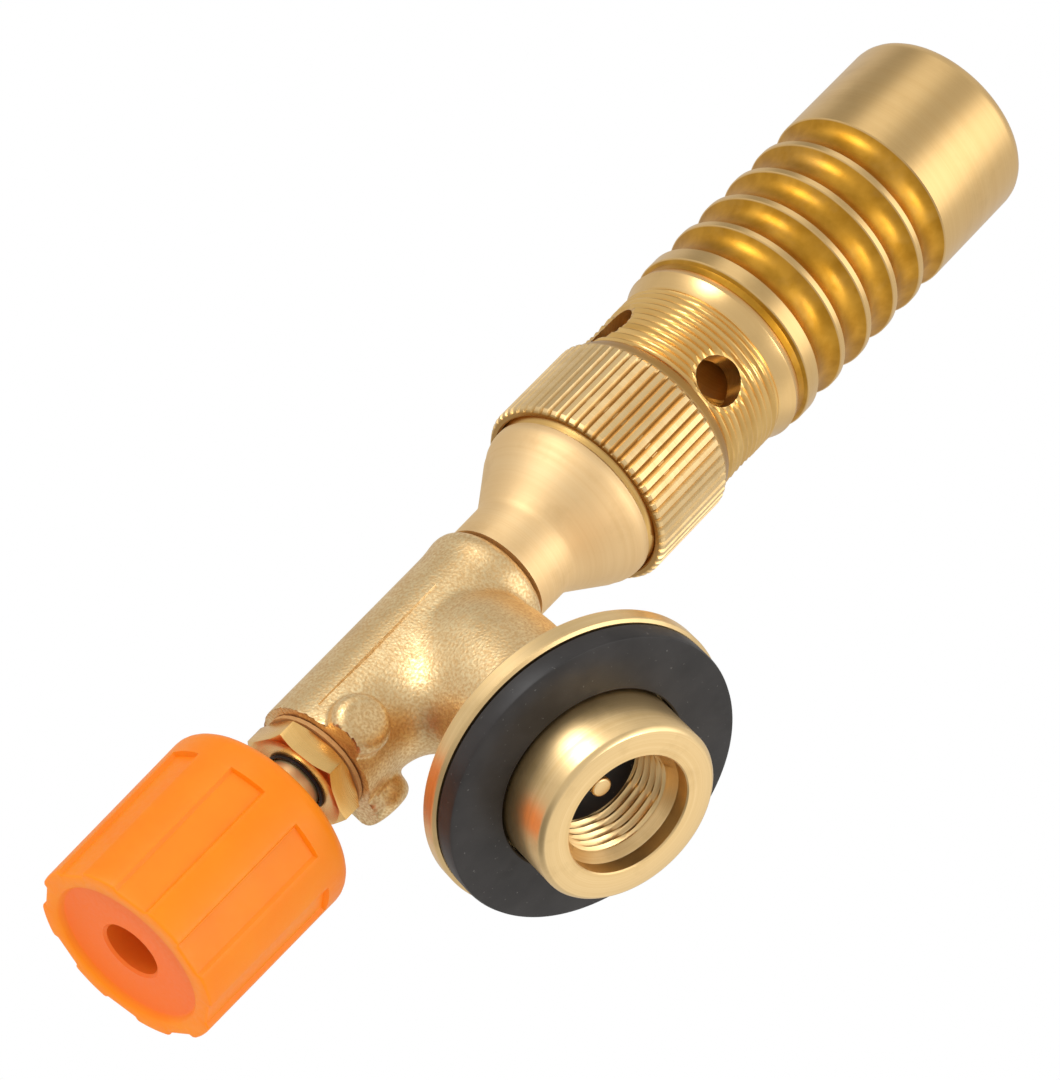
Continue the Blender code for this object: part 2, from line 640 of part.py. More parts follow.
def make_neck():
    """Turned neck with its cone. It screws into the body and carries the burner tube and the jet holder."""
    gasket_top = OUTLET_END + SEAT_GAP + GASKET_THICKNESS
    rear_spigot = NECK_BORE - SEAT_GAP
    holder_bore = HOLDER_THREAD + SEAT_GAP
    holder_floor = NECK_SPIGOT_END - HOLDER_LENGTH - 1.0 * MM
    profile = [
        (NECK_SPIGOT, NECK_SPIGOT_END),
        (NECK_SPIGOT, CONE_RIM),
        (CONE_RADIUS, CONE_RIM),
        (CONE_RADIUS, CONE_RIM - CONE_BAND),
        (NECK_RADIUS, NECK_START + NECK_LENGTH),
        (NECK_RADIUS, NECK_START),
        (rear_spigot, NECK_START),
        (rear_spigot, gasket_top + SEAT_GAP),
        (GAS_PASSAGE, gasket_top + SEAT_GAP),
        (GAS_PASSAGE, holder_floor),
        (holder_bore, holder_floor),
        (holder_bore, NECK_SPIGOT_END),
    ]
    turned("burner_neck", profile, BURNER_AXIS, FINE, "turned_brass")
    low, high = OUTLET_END + SEAT_GAP, gasket_top
    gasket = [(rear_spigot, high), (rear_spigot, low), (GAS_PASSAGE, low), (GAS_PASSAGE, high)]
    turned("neck_gasket", gasket, BURNER_AXIS, COARSE, "white_ptfe")


def make_jet():
    """Jet holder in the neck, the jet in its front end, and the filter between them."""
    seat = NECK_SPIGOT_END + SEAT_GAP
    flange_top = seat + HOLDER_FLANGE_HEIGHT
    front = flange_top + HOLDER_LENGTH
    socket = JET_THREAD + SEAT_GAP
    socket_floor = front - JET_LENGTH - JET_FILTER - 2 * SEAT_GAP
    rear = seat - HOLDER_LENGTH
    holder = [
        (HOLDER_RADIUS, front),
        (HOLDER_RADIUS, flange_top),
        (HOLDER_FLANGE, flange_top),
        (HOLDER_FLANGE, seat),
        (HOLDER_THREAD, seat),
        (HOLDER_THREAD, rear),
        (GAS_PASSAGE, rear),
        (GAS_PASSAGE, socket_floor),
        (socket, socket_floor),
        (socket, front),
    ]
    turned("jet_holder", holder, BURNER_AXIS, COARSE, "turned_brass")
    shoulder = front + SEAT_GAP
    tip = shoulder + JET_LENGTH
    jet = [
        (0.45 * JET_RADIUS, tip),
        (JET_RADIUS, tip - 0.45 * JET_LENGTH),
        (JET_RADIUS, shoulder),
        (JET_THREAD, shoulder),
        (JET_THREAD, shoulder - JET_LENGTH),
        (3 * JET_BORE, shoulder - JET_LENGTH),
        (3 * JET_BORE, tip - 0.9 * MM),
        (JET_BORE, tip - 0.6 * MM),
        (JET_BORE, tip),
    ]
    turned("jet", jet, BURNER_AXIS, COARSE, "turned_brass")
    high = shoulder - JET_LENGTH - SEAT_GAP
    low = high - JET_FILTER
    plug = [(0, high), (JET_THREAD, high), (JET_THREAD, low), (0, low)]
    turned("jet_filter", plug, BURNER_AXIS, COARSE, "sintered_bronze", ring=False)


def groove(middle):
    """Concave ring groove, from its burner side to its sleeve side."""
    half = GROOVE_WIDTH / 2
    radius = (half**2 + GROOVE_DEPTH**2) / (2 * GROOVE_DEPTH)
    reach = degrees(asin(half / radius))
    centre = (RIB_RADIUS - GROOVE_DEPTH + radius, middle)
    return arc(centre, radius, 180 - reach, 180 + reach, 4)


def make_burner_tube():
    """Burner tube: threaded rear with air holes, shoulder, band, five ring grooves and the smooth head."""
    rear_bore = NECK_SPIGOT + SEAT_GAP
    rear_bore_end = NECK_SPIGOT_END + SEAT_GAP
    mixer_bore = MIXER_RADIUS + SEAT_GAP
    corner = (HEAD_RADIUS - HEAD_ROUNDING, HEAD_END - HEAD_ROUNDING)
    profile = [*arc(corner, HEAD_ROUNDING, 90, 0, 3), (HEAD_RADIUS, GROOVES_END + HEAD_RADIUS - RIB_RADIUS)]
    for i in reversed(range(GROOVE_COUNT)):
        profile += groove(GROOVE_FIRST + GROOVE_SPACING * i)
    profile += [
        (RIB_RADIUS, BAND_START),
        (RIB_RADIUS - UNDERCUT_DEPTH, BAND_START - 0.25 * MM),
        (RIB_RADIUS - UNDERCUT_DEPTH, SHOULDER_END + 0.3 * MM),
        (TUBE_THREAD + SHOULDER_RISE, SHOULDER_END),
        (TUBE_THREAD, TUBE_THREAD_END),
        (TUBE_THREAD, TUBE_REAR + 0.4 * MM),
        (TUBE_THREAD - 0.4 * MM, TUBE_REAR),
        (rear_bore, TUBE_REAR),
        (rear_bore, rear_bore_end),
        (AIR_CHAMBER, rear_bore_end),
        (AIR_CHAMBER, AIR_CHAMBER_END),
        (mixer_bore, AIR_CHAMBER_END),
        (mixer_bore, CUP_FLOOR),
        (CUP_RADIUS, CUP_FLOOR),
        (CUP_RADIUS, HEAD_END),
    ]
    tube = turned("burner_tube", profile, BURNER_AXIS, FINE, "burner_brass")
    length = TUBE_THREAD - AIR_CHAMBER + 3 * MM
    places = []
    for i in range(AIR_HOLE_COUNT):
        out = direction(AIR_HOLE_TURN + 2 * pi * i / AIR_HOLE_COUNT)
        middle = out * (TUBE_THREAD + AIR_CHAMBER) / 2 + Vector((0, 0, AIR_HOLE_PLACE))
        places.append((middle, out))
    combine(tube, rods("air_holes", places, AIR_HOLE_RADIUS, length, BURNER_AXIS))


def make_burner_inside():
    """Mixing tube with its throat, and the flame holder at the floor of the cup."""
    low, high = AIR_CHAMBER_END, CUP_FLOOR
    mixer = [
        (MIXER_RADIUS, high),
        (MIXER_RADIUS, low),
        (MIXER_MOUTH, low),
        (0.45 * MIXER_MOUTH + 0.55 * THROAT_RADIUS, low + THROAT_DEPTH / 2),
        (THROAT_RADIUS, low + THROAT_DEPTH),
        (MIXER_MOUTH - 0.1 * MM, high),
    ]
    turned("mixing_tube", mixer, BURNER_AXIS, COARSE, "turned_brass")
    seat = CUP_FLOOR + SEAT_GAP
    face = seat + HOLDER_DISC
    edge = CUP_RADIUS - SEAT_GAP
    disc = [(edge, face), (edge, seat), (PORT_CENTRE, seat), (PORT_CENTRE, face)]
    holder = turned("flame_holder", disc, BURNER_AXIS, FINE, "turned_brass")
    places = []
    for i in range(PORT_COUNT):
        out = direction(2 * pi * i / PORT_COUNT) * (edge + PORT_CENTRE) / 2
        places.append((out + Vector((0, 0, (seat + face) / 2)), Vector((0, 0, 1))))
    combine(holder, rods("flame_ports", places, PORT_RADIUS, HOLDER_DISC + 2 * MM, BURNER_AXIS, 10))


def make_air_sleeve():
    """Knurled sleeve that screws along the burner tube's thread, with a wire ring in a groove inside it."""
    rear, front = SLEEVE_REAR, SLEEVE_FRONT
    bore = TUBE_THREAD + SEAT_GAP
    middle = rear + 3.4 * MM
    ring_centre = TUBE_THREAD + RUN_GAP + FRICTION_WIRE
    half = FRICTION_WIRE + RUN_GAP
    depth = ring_centre + half
    sleeve = [
        (bore + 0.1 * SLEEVE_WALL, front),
        (SLEEVE_RADIUS - 0.3 * MM, front - SLEEVE_NOSE),
        (SLEEVE_RADIUS, front - SLEEVE_NOSE - 0.3 * MM),
        (SLEEVE_RADIUS, rear + SLEEVE_CHAMFER),
        (SLEEVE_RADIUS - SLEEVE_CHAMFER, rear),
        (bore, rear),
        (bore, middle - half),
        (depth, middle - half),
        (depth, middle + half),
        (bore, middle + half),
        (bore, front),
    ]
    turned("air_sleeve", sleeve, BURNER_AXIS, FINE, "turned_brass")
    ring = arc((ring_centre, middle), FRICTION_WIRE, 180, -180, 6)[:-1]
    turned("sleeve_friction_ring", ring, BURNER_AXIS, FINE, "zinc_steel")


make_valve_body()
make_gland()
make_spindle()
make_knob()
make_connector()
make_neck()
make_jet()
make_burner_tube()
make_burner_inside()
make_air_sleeve()
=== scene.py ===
import json
import math

import bpy
from mathutils import Matrix, Vector


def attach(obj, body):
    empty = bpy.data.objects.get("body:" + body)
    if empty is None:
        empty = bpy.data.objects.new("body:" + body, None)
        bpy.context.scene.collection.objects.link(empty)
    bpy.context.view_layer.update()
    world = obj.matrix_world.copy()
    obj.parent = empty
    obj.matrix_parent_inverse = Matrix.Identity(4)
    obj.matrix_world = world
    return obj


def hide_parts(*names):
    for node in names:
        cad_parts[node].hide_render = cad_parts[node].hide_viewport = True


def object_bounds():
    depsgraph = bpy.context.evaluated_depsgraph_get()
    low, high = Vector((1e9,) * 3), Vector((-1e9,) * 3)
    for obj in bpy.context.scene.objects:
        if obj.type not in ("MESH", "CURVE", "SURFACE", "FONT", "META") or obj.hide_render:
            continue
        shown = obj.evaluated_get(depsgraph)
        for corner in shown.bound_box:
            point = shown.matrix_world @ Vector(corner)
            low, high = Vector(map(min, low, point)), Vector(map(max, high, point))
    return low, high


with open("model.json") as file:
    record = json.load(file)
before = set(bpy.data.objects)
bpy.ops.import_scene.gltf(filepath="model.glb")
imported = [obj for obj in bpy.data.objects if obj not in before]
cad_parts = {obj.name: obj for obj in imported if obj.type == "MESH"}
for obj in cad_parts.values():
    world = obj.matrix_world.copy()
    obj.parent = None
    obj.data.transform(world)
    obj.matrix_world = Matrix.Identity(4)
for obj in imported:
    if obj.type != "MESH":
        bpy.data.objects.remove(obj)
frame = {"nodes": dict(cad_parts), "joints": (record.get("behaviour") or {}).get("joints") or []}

mm = 0.001
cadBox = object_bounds()
nodes = frame["nodes"]
print("frame loaded")


# the two axes of the torch

knobJoint = next(joint for joint in frame["joints"] if joint["name"] == "knob_turn")
crossing = Vector(knobJoint["pos_m"])
burnerWay = Vector(knobJoint["axis"])
burnerAxis = {"place": crossing, "turn": (0, math.acos(burnerWay.z), 0)}
cartridgeAxis = {"place": Vector((0, 0, 0)), "turn": (0, 0, 0)}


def axisMatrix(axis):
    turn = Matrix.Rotation(axis["turn"][1], 4, "Y")
    return Matrix.Translation(axis["place"]) @ turn


def spanOf(node, axis):
    # lowest place, highest place and largest radius of a CAD piece about an axis, in mm
    back = axisMatrix(axis).inverted()
    points = [back @ vertex.co for vertex in nodes[node].data.vertices]
    heights = [point.z / mm for point in points]
    radii = [math.hypot(point.x, point.y) / mm for point in points]
    return min(heights), max(heights), max(radii)


# modelling helpers

def deselectAll():
    if bpy.context.mode != "OBJECT":
        bpy.ops.object.mode_set(mode="OBJECT")
    bpy.ops.object.select_all(action="DESELECT")


def selectOnly(piece):
    deselectAll()
    piece.select_set(True)
    bpy.context.view_layer.objects.active = piece


def addModifier(piece, kind, **settings):
    selectOnly(piece)
    modifier = piece.modifiers.new(kind.title(), kind)
    for key, value in settings.items():
        setattr(modifier, key, value)
    bpy.ops.object.modifier_apply(modifier=modifier.name)


def joinCut(piece, other, operation="DIFFERENCE"):
    addModifier(piece, "BOOLEAN", operation=operation, object=other, solver="EXACT")
    bpy.data.objects.remove(other, do_unlink=True)


def cleanUp(piece):
    selectOnly(piece)
    bpy.ops.object.mode_set(mode="EDIT")
    bpy.ops.mesh.select_all(action="SELECT")
    bpy.ops.mesh.remove_doubles(threshold=0.002 * mm)
    bpy.ops.mesh.normals_make_consistent(inside=False)
    bpy.ops.object.mode_set(mode="OBJECT")


def spinProfile(name, points, sides, ring=True):
    # draws the outline point by point from one vertex, in mm, and spins it about Z
    deselectAll()
    bpy.ops.mesh.primitive_plane_add(size=mm, location=(0, 0, 0))
    piece = bpy.context.object
    piece.name = piece.data.name = name
    bpy.ops.object.mode_set(mode="EDIT")
    bpy.ops.mesh.merge(type="CENTER")
    last = Vector((0, 0, 0))
    for number, (radius, height) in enumerate(points):
        place = Vector((radius, 0, height)) * mm
        if number == 0:
            bpy.ops.transform.translate(value=place)
        else:
            bpy.ops.mesh.extrude_vertices_move(TRANSFORM_OT_translate={"value": place - last})
        last = place
    if ring:
        start = Vector((points[0][0], 0, points[0][1])) * mm
        bpy.ops.mesh.extrude_vertices_move(TRANSFORM_OT_translate={"value": start - last})
    bpy.ops.mesh.select_all(action="SELECT")
    bpy.ops.mesh.spin(steps=sides, angle=2 * math.pi, center=(0, 0, 0), axis=(0, 0, 1))
    bpy.ops.object.mode_set(mode="OBJECT")
    cleanUp(piece)
    return piece


def roundOff(centre, radius, start, end, steps):
    # points of an arc in an outline, angles in degrees from the outward side
    angles = [math.radians(start + (end - start) * i / steps) for i in range(steps + 1)]
    return [(centre[0] + radius * math.cos(t), centre[1] + radius * math.sin(t)) for t in angles]


def rows(radius, low, high, count):
    # evenly spaced points up a straight wall, both ends included
    return [(radius, low + (high - low) * i / count) for i in range(count + 1)]


def selectWhere(piece, test):
    # test is given a vertex in mm as radius, angle in degrees and height
    selectOnly(piece)
    bpy.ops.object.mode_set(mode="EDIT")
    bpy.ops.mesh.select_mode(type="VERT")
    bpy.ops.mesh.select_all(action="DESELECT")
    bpy.ops.object.mode_set(mode="OBJECT")
    for vertex in piece.data.vertices:
        x, y, z = vertex.co / mm
        vertex.select = test(math.hypot(x, y), math.degrees(math.atan2(y, x)) % 360, z)
    bpy.ops.object.mode_set(mode="EDIT")


def squeeze(piece, factor, test):
    # pulls the chosen vertices in towards the Z axis
    selectWhere(piece, test)
    bpy.ops.transform.resize(value=(factor, factor, 1), center_override=(0, 0, 0))
    bpy.ops.object.mode_set(mode="OBJECT")


def engrave(piece, depth, weightAt):
    # pushes the surface in by depth mm times a weight from 0 to 1, worked out at each vertex
    group = piece.vertex_groups.new(name="engrave")
    for vertex in piece.data.vertices:
        x, y, z = vertex.co / mm
        weight = weightAt(math.hypot(x, y), math.degrees(math.atan2(y, x)) % 360, z)
        if weight > 0:
            group.add([vertex.index], min(weight, 1), "REPLACE")
    addModifier(piece, "DISPLACE", strength=-depth * mm, mid_level=0, vertex_group=group.name)
    piece.vertex_groups.clear()


def rod(name, radius, length, place, way, sides=48):
    # a straight round cutter or form, in mm
    deselectAll()
    turn = Vector(way).to_track_quat("Z", "Y").to_euler()
    bpy.ops.mesh.primitive_cylinder_add(
        vertices=sides, radius=radius * mm, depth=length * mm, location=Vector(place) * mm, rotation=turn
    )
    made = bpy.context.object
    made.name = name
    return made


def block(name, size, place, turn=(0, 0, 0)):
    deselectAll()
    bpy.ops.mesh.primitive_cube_add(size=mm, location=Vector(place) * mm, rotation=turn, scale=size)
    made = bpy.context.object
    made.name = name
    return made


def settle(piece, axis):
    # turns a piece drawn about Z onto its axis and applies its place to the mesh
    selectOnly(piece)
    piece.matrix_world = axisMatrix(axis) @ piece.matrix_world
    bpy.ops.object.transform_apply(location=True, rotation=True, scale=True)


def finishPiece(piece, body, node, material, angle=32):
    selectOnly(piece)
    bpy.ops.object.shade_smooth_by_angle(angle=math.radians(angle))
    piece.data.materials.clear()
    piece.data.materials.append(material)
    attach(piece, body)
    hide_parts(node)


# material helpers

def addNode(tree, kind, **settings):
    node = tree.nodes.new(kind)
    for key, value in settings.items():
        setattr(node, key, value)
    return node


def link(tree, source, target):
    tree.links.new(source, target)


def maths(tree, operation, first, second=None):
    node = addNode(tree, "ShaderNodeMath", operation=operation)
    for number, value in enumerate((first, second)):
        if value is None:
            continue
        if isinstance(value, (int, float)):
            node.inputs[number].default_value = value
        else:
            link(tree, value, node.inputs[number])
    return node.outputs[0]


def noise(tree, vector, scale, detail=2.0, roughness=0.5):
    node = addNode(tree, "ShaderNodeTexNoise")
    node.inputs["Scale"].default_value = scale
    node.inputs["Detail"].default_value = detail
    node.inputs["Roughness"].default_value = roughness
    link(tree, vector, node.inputs["Vector"])
    return node.outputs["Fac"]


def spread(tree, value, low, high, outLow, outHigh):
    node = addNode(tree, "ShaderNodeMapRange")
    for name, number in (("From Min", low), ("From Max", high), ("To Min", outLow), ("To Max", outHigh)):
        node.inputs[name].default_value = number
    link(tree, value, node.inputs["Value"])
    return node.outputs["Result"]


def mixColours(tree, amount, first, second):
    node = addNode(tree, "ShaderNodeMix", data_type="RGBA")
    link(tree, amount, node.inputs["Factor"])
    for name, colour in (("A", first), ("B", second)):
        socket = [s for s in node.inputs if s.name == name and s.type == "RGBA"][0]
        if isinstance(colour, tuple):
            socket.default_value = (*colour, 1)
        else:
            link(tree, colour, socket)
    return [s for s in node.outputs if s.type == "RGBA"][0]


def newGroup(name, inputs, outputs):
    tree = bpy.data.node_groups.new(name, "ShaderNodeTree")
    for label, kind, value in inputs:
        socket = tree.interface.new_socket(name=label, in_out="INPUT", socket_type=kind)
        if value is not None:
            socket.default_value = value
    for label, kind in outputs:
        tree.interface.new_socket(name=label, in_out="OUTPUT", socket_type=kind)
    return tree, tree.nodes.new("NodeGroupInput"), tree.nodes.new("NodeGroupOutput")


def latheGroup():
    # fine rings left by the tool, on the walls and on the end faces of a turned piece
    tree, source, result = newGroup(
        "latheMarks",
        [("Vector", "NodeSocketVector", None), ("Fineness", "NodeSocketFloat", 9.0)],
        [("Height", "NodeSocketFloat"), ("Tone", "NodeSocketFloat"), ("Radius", "NodeSocketFloat")],
    )
    split = addNode(tree, "ShaderNodeSeparateXYZ")
    link(tree, source.outputs["Vector"], split.inputs[0])
    flat = maths(tree, "ADD", maths(tree, "POWER", split.outputs["X"], 2.0), maths(tree, "POWER", split.outputs["Y"], 2.0))
    radius = maths(tree, "SQRT", flat)
    lathe = maths(tree, "SUBTRACT", split.outputs["Z"], maths(tree, "MULTIPLY", radius, 0.83))
    across = maths(tree, "MULTIPLY", lathe, 1000.0)
    across = maths(tree, "MULTIPLY", across, source.outputs["Fineness"])
    joined = addNode(tree, "ShaderNodeCombineXYZ")
    link(tree, across, joined.inputs["X"])
    link(tree, maths(tree, "MULTIPLY", split.outputs["X"], 35.0), joined.inputs["Y"])
    link(tree, maths(tree, "MULTIPLY", split.outputs["Y"], 35.0), joined.inputs["Z"])
    fine = noise(tree, joined.outputs[0], 1.0, 3.0, 0.65)
    coarse = noise(tree, joined.outputs[0], 0.13, 2.0, 0.5)
    link(tree, maths(tree, "ADD", fine, maths(tree, "MULTIPLY", coarse, 0.6)), result.inputs["Height"])
    link(tree, maths(tree, "MULTIPLY", maths(tree, "ADD", fine, coarse), 0.5), result.inputs["Tone"])
    link(tree, radius, result.inputs["Radius"])
    return tree


def grainGroup():
    # pebbled skin of a forged and tumbled, or of a cast, surface
    tree, source, result = newGroup(
        "skinGrain",
        [("Vector", "NodeSocketVector", None), ("Scale", "NodeSocketFloat", 3600.0)],
        [("Height", "NodeSocketFloat"), ("Tone", "NodeSocketFloat"), ("Patches", "NodeSocketFloat")],
    )
    pebbles = addNode(tree, "ShaderNodeTexVoronoi", feature="SMOOTH_F1")
    pebbles.inputs["Smoothness"].default_value = 0.6
    link(tree, source.outputs["Vector"], pebbles.inputs["Vector"])
    link(tree, source.outputs["Scale"], pebbles.inputs["Scale"])
    speckle = addNode(tree, "ShaderNodeTexNoise")
    speckle.inputs["Detail"].default_value = 3.0
    link(tree, source.outputs["Vector"], speckle.inputs["Vector"])
    link(tree, source.outputs["Scale"], speckle.inputs["Scale"])
    patches = noise(tree, source.outputs["Vector"], 190.0, 3.0, 0.55)
    height = maths(tree, "ADD", maths(tree, "MULTIPLY", pebbles.outputs["Distance"], 0.6), speckle.outputs["Fac"])
    link(tree, height, result.inputs["Height"])
    link(tree, speckle.outputs["Fac"], result.inputs["Tone"])
    link(tree, patches, result.inputs["Patches"])
    return tree


def soilGroup():
    # thin stains and a few fine scratches that change the shade a little
    tree, source, result = newGroup(
        "handlingMarks",
        [("Vector", "NodeSocketVector", None)],
        [("Stain", "NodeSocketFloat"), ("Scratch", "NodeSocketFloat")],
    )
    stain = spread(tree, noise(tree, source.outputs["Vector"], 260.0, 5.0, 0.6), 0.52, 0.72, 0.0, 1.0)
    squash = addNode(tree, "ShaderNodeMapping")
    squash.inputs["Rotation"].default_value = (0.6, 0.4, 0.9)
    squash.inputs["Scale"].default_value = (2600, 130, 2600)
    link(tree, source.outputs["Vector"], squash.inputs["Vector"])
    scratch = spread(tree, noise(tree, squash.outputs[0], 1.0, 2.0, 0.5), 0.68, 0.75, 0.0, 1.0)
    link(tree, stain, result.inputs["Stain"])
    link(tree, scratch, result.inputs["Scratch"])
    return tree


latheMarks = latheGroup()
skinGrain = grainGroup()
handlingMarks = soilGroup()


def newMaterial(name, axis):
    material = bpy.data.materials.new(name)
    material.use_nodes = True
    tree = material.node_tree
    shader = tree.nodes["Principled BSDF"]
    coordinates = addNode(tree, "ShaderNodeTexCoord")
    mapping = addNode(tree, "ShaderNodeMapping", vector_type="TEXTURE")
    mapping.inputs["Location"].default_value = axis["place"]
    mapping.inputs["Rotation"].default_value = axis["turn"]
    link(tree, coordinates.outputs["Object"], mapping.inputs["Vector"])
    return material, tree, shader, mapping.outputs[0]


def useGroup(tree, group, vector, **values):
    node = addNode(tree, "ShaderNodeGroup", node_tree=group)
    link(tree, vector, node.inputs["Vector"])
    for key, value in values.items():
        node.inputs[key].default_value = value
    return node


def addBump(tree, shader, height, strength, distance, after=None):
    bump = addNode(tree, "ShaderNodeBump")
    bump.inputs["Strength"].default_value = strength
    bump.inputs["Distance"].default_value = distance * mm
    link(tree, height, bump.inputs["Height"])
    if after:
        link(tree, after, bump.inputs["Normal"])
    link(tree, bump.outputs[0], shader.inputs["Normal"])
    return bump.outputs[0]


turnedLook = {
    "light": (0.92, 0.64, 0.31),
    "shade": (0.78, 0.52, 0.22),
    "stain": (0.52, 0.33, 0.12),
    "rough": (0.24, 0.40),
}


def turnedBrass(name, axis, fineness=9.0, strength=0.30, look=turnedLook, paintedShadeBelow=None, paintedShadeColour=None):
    material, tree, shader, place = newMaterial(name, axis)
    marks = useGroup(tree, latheMarks, place, Fineness=fineness)
    wear = useGroup(tree, handlingMarks, place)
    tone = spread(tree, marks.outputs["Tone"], 0.36, 0.62, 0.0, 1.0)
    colour = mixColours(tree, tone, look["shade"], look["light"])
    # painted shade: below the given radius the colour turns to the darker one, standing in for the shade in the hollows
    if paintedShadeBelow:
        paintedShadeMask = spread(tree, marks.outputs["Radius"], paintedShadeBelow[0] * mm, paintedShadeBelow[1] * mm, 1.0, 0.0)
        colour = mixColours(tree, paintedShadeMask, colour, paintedShadeColour)
    stain = maths(tree, "MULTIPLY", wear.outputs["Stain"], 0.35)
    colour = mixColours(tree, stain, colour, look["stain"])
    link(tree, colour, shader.inputs["Base Color"])
    rough = spread(tree, marks.outputs["Tone"], 0.3, 0.7, look["rough"][1], look["rough"][0])
    link(tree, rough, shader.inputs["Roughness"])
    shader.inputs["Metallic"].default_value = 1.0
    height = maths(tree, "SUBTRACT", marks.outputs["Height"], maths(tree, "MULTIPLY", wear.outputs["Scratch"], 0.5))
    addBump(tree, shader, height, strength, 0.012)
    return material


def burnerGold(name, axis):
    # pale satin head and lands, deeper gold painted into the ring grooves as their shade and interreflection, and warm
    # gold on the thread
    material, tree, shader, place = newMaterial(name, axis)
    marks = useGroup(tree, latheMarks, place, Fineness=7.0)
    wear = useGroup(tree, handlingMarks, place)
    split = addNode(tree, "ShaderNodeSeparateXYZ")
    link(tree, place, split.inputs[0])
    tone = spread(tree, marks.outputs["Tone"], 0.36, 0.62, 0.0, 1.0)
    pale = mixColours(tree, tone, (0.84, 0.55, 0.23), (0.885, 0.595, 0.26))
    cloudy = spread(tree, noise(tree, place, 420.0, 3.0, 0.55), 0.35, 0.65, 0.0, 1.0)
    # painted shade: the ring grooves get a darker, deeper gold that stands in for their shade and interreflection
    grooveShadeGold = mixColours(tree, cloudy, (0.50, 0.235, 0.02), (0.66, 0.335, 0.04))
    warm = mixColours(tree, tone, (0.76, 0.45, 0.13), (0.96, 0.63, 0.24))
    low = spread(tree, marks.outputs["Radius"], 9.76 * mm, 9.84 * mm, 1.0, 0.0)
    inGrooves = spread(tree, split.outputs["Z"], 40.85 * mm, 40.95 * mm, 0.0, 1.0)
    beforeHead = spread(tree, split.outputs["Z"], 64.3 * mm, 64.4 * mm, 1.0, 0.0)
    groove = maths(tree, "MULTIPLY", maths(tree, "MULTIPLY", low, inGrooves), beforeHead)
    thread = spread(tree, split.outputs["Z"], 38.7 * mm, 39.0 * mm, 1.0, 0.0)
    colour = mixColours(tree, groove, pale, grooveShadeGold)
    colour = mixColours(tree, thread, colour, warm)
    colour = mixColours(tree, maths(tree, "MULTIPLY", wear.outputs["Stain"], 0.22), colour, (0.56, 0.36, 0.14))
    link(tree, colour, shader.inputs["Base Color"])
    rough = spread(tree, marks.outputs["Tone"], 0.3, 0.7, 0.315, 0.275)
    link(tree, maths(tree, "ADD", rough, maths(tree, "MULTIPLY", groove, 0.10)), shader.inputs["Roughness"])
    shader.inputs["Metallic"].default_value = 1.0
    height = maths(tree, "MULTIPLY", marks.outputs["Height"], spread(tree, groove, 0.0, 1.0, 1.0, 0.25))
    addBump(tree, shader, height, 0.13, 0.012)
    return material


def forgedBrass(name, axis):
    material, tree, shader, place = newMaterial(name, axis)
    grain = useGroup(tree, skinGrain, place, Scale=3800.0)
    wear = useGroup(tree, handlingMarks, place)
    tone = spread(tree, grain.outputs["Tone"], 0.38, 0.64, 0.0, 1.0)
    colour = mixColours(tree, tone, (0.78, 0.525, 0.25), (1.0, 0.78, 0.44))
    patch = spread(tree, grain.outputs["Patches"], 0.42, 0.62, 0.0, 0.35)
    colour = mixColours(tree, patch, colour, (0.74, 0.48, 0.21))
    colour = mixColours(tree, maths(tree, "MULTIPLY", wear.outputs["Stain"], 0.2), colour, (0.45, 0.27, 0.12))
    link(tree, colour, shader.inputs["Base Color"])
    link(tree, spread(tree, grain.outputs["Tone"], 0.3, 0.7, 0.52, 0.36), shader.inputs["Roughness"])
    shader.inputs["Metallic"].default_value = 1.0
    addBump(tree, shader, grain.outputs["Height"], 0.8, 0.035)
    return material


def mouldedPlastic(name, axis):
    material, tree, shader, place = newMaterial(name, axis)
    grain = useGroup(tree, skinGrain, place, Scale=2200.0)
    marks = useGroup(tree, latheMarks, place, Fineness=0.4)
    split = addNode(tree, "ShaderNodeSeparateXYZ")
    link(tree, place, split.inputs[0])
    low, high, _ = spanOf("control_knob", burnerAxis)
    colour = mixColours(
        tree, spread(tree, grain.outputs["Patches"], 0.35, 0.65, 0.0, 1.0), (1.0, 0.245, 0.004), (1.0, 0.27, 0.006)
    )
    # the recessed end face and the hole inside it are painted a darker red, as painted shade
    middle = spread(tree, marks.outputs["Radius"], 7.15 * mm, 7.45 * mm, 1.0, 0.0)
    ending = spread(tree, split.outputs["Z"], (low + 0.3) * mm, (low + 1.2) * mm, 1.0, 0.6)
    near = spread(tree, split.outputs["Z"], (high - 4) * mm, (high - 3) * mm, 1.0, 0.0)
    recessShade = maths(tree, "MULTIPLY", maths(tree, "MULTIPLY", middle, ending), near)
    colour = mixColours(tree, recessShade, colour, (0.95, 0.16, 0.022))
    link(tree, colour, shader.inputs["Base Color"])
    link(tree, spread(tree, grain.outputs["Tone"], 0.3, 0.7, 0.36, 0.50), shader.inputs["Roughness"])
    shader.inputs["Specular IOR Level"].default_value = 0.3
    shader.inputs["Subsurface Weight"].default_value = 0.12
    shader.inputs["Subsurface Radius"].default_value = (1.0, 0.35, 0.1)
    shader.inputs["Subsurface Scale"].default_value = 0.8 * mm
    addBump(tree, shader, grain.outputs["Height"], 0.12, 0.02)
    return material


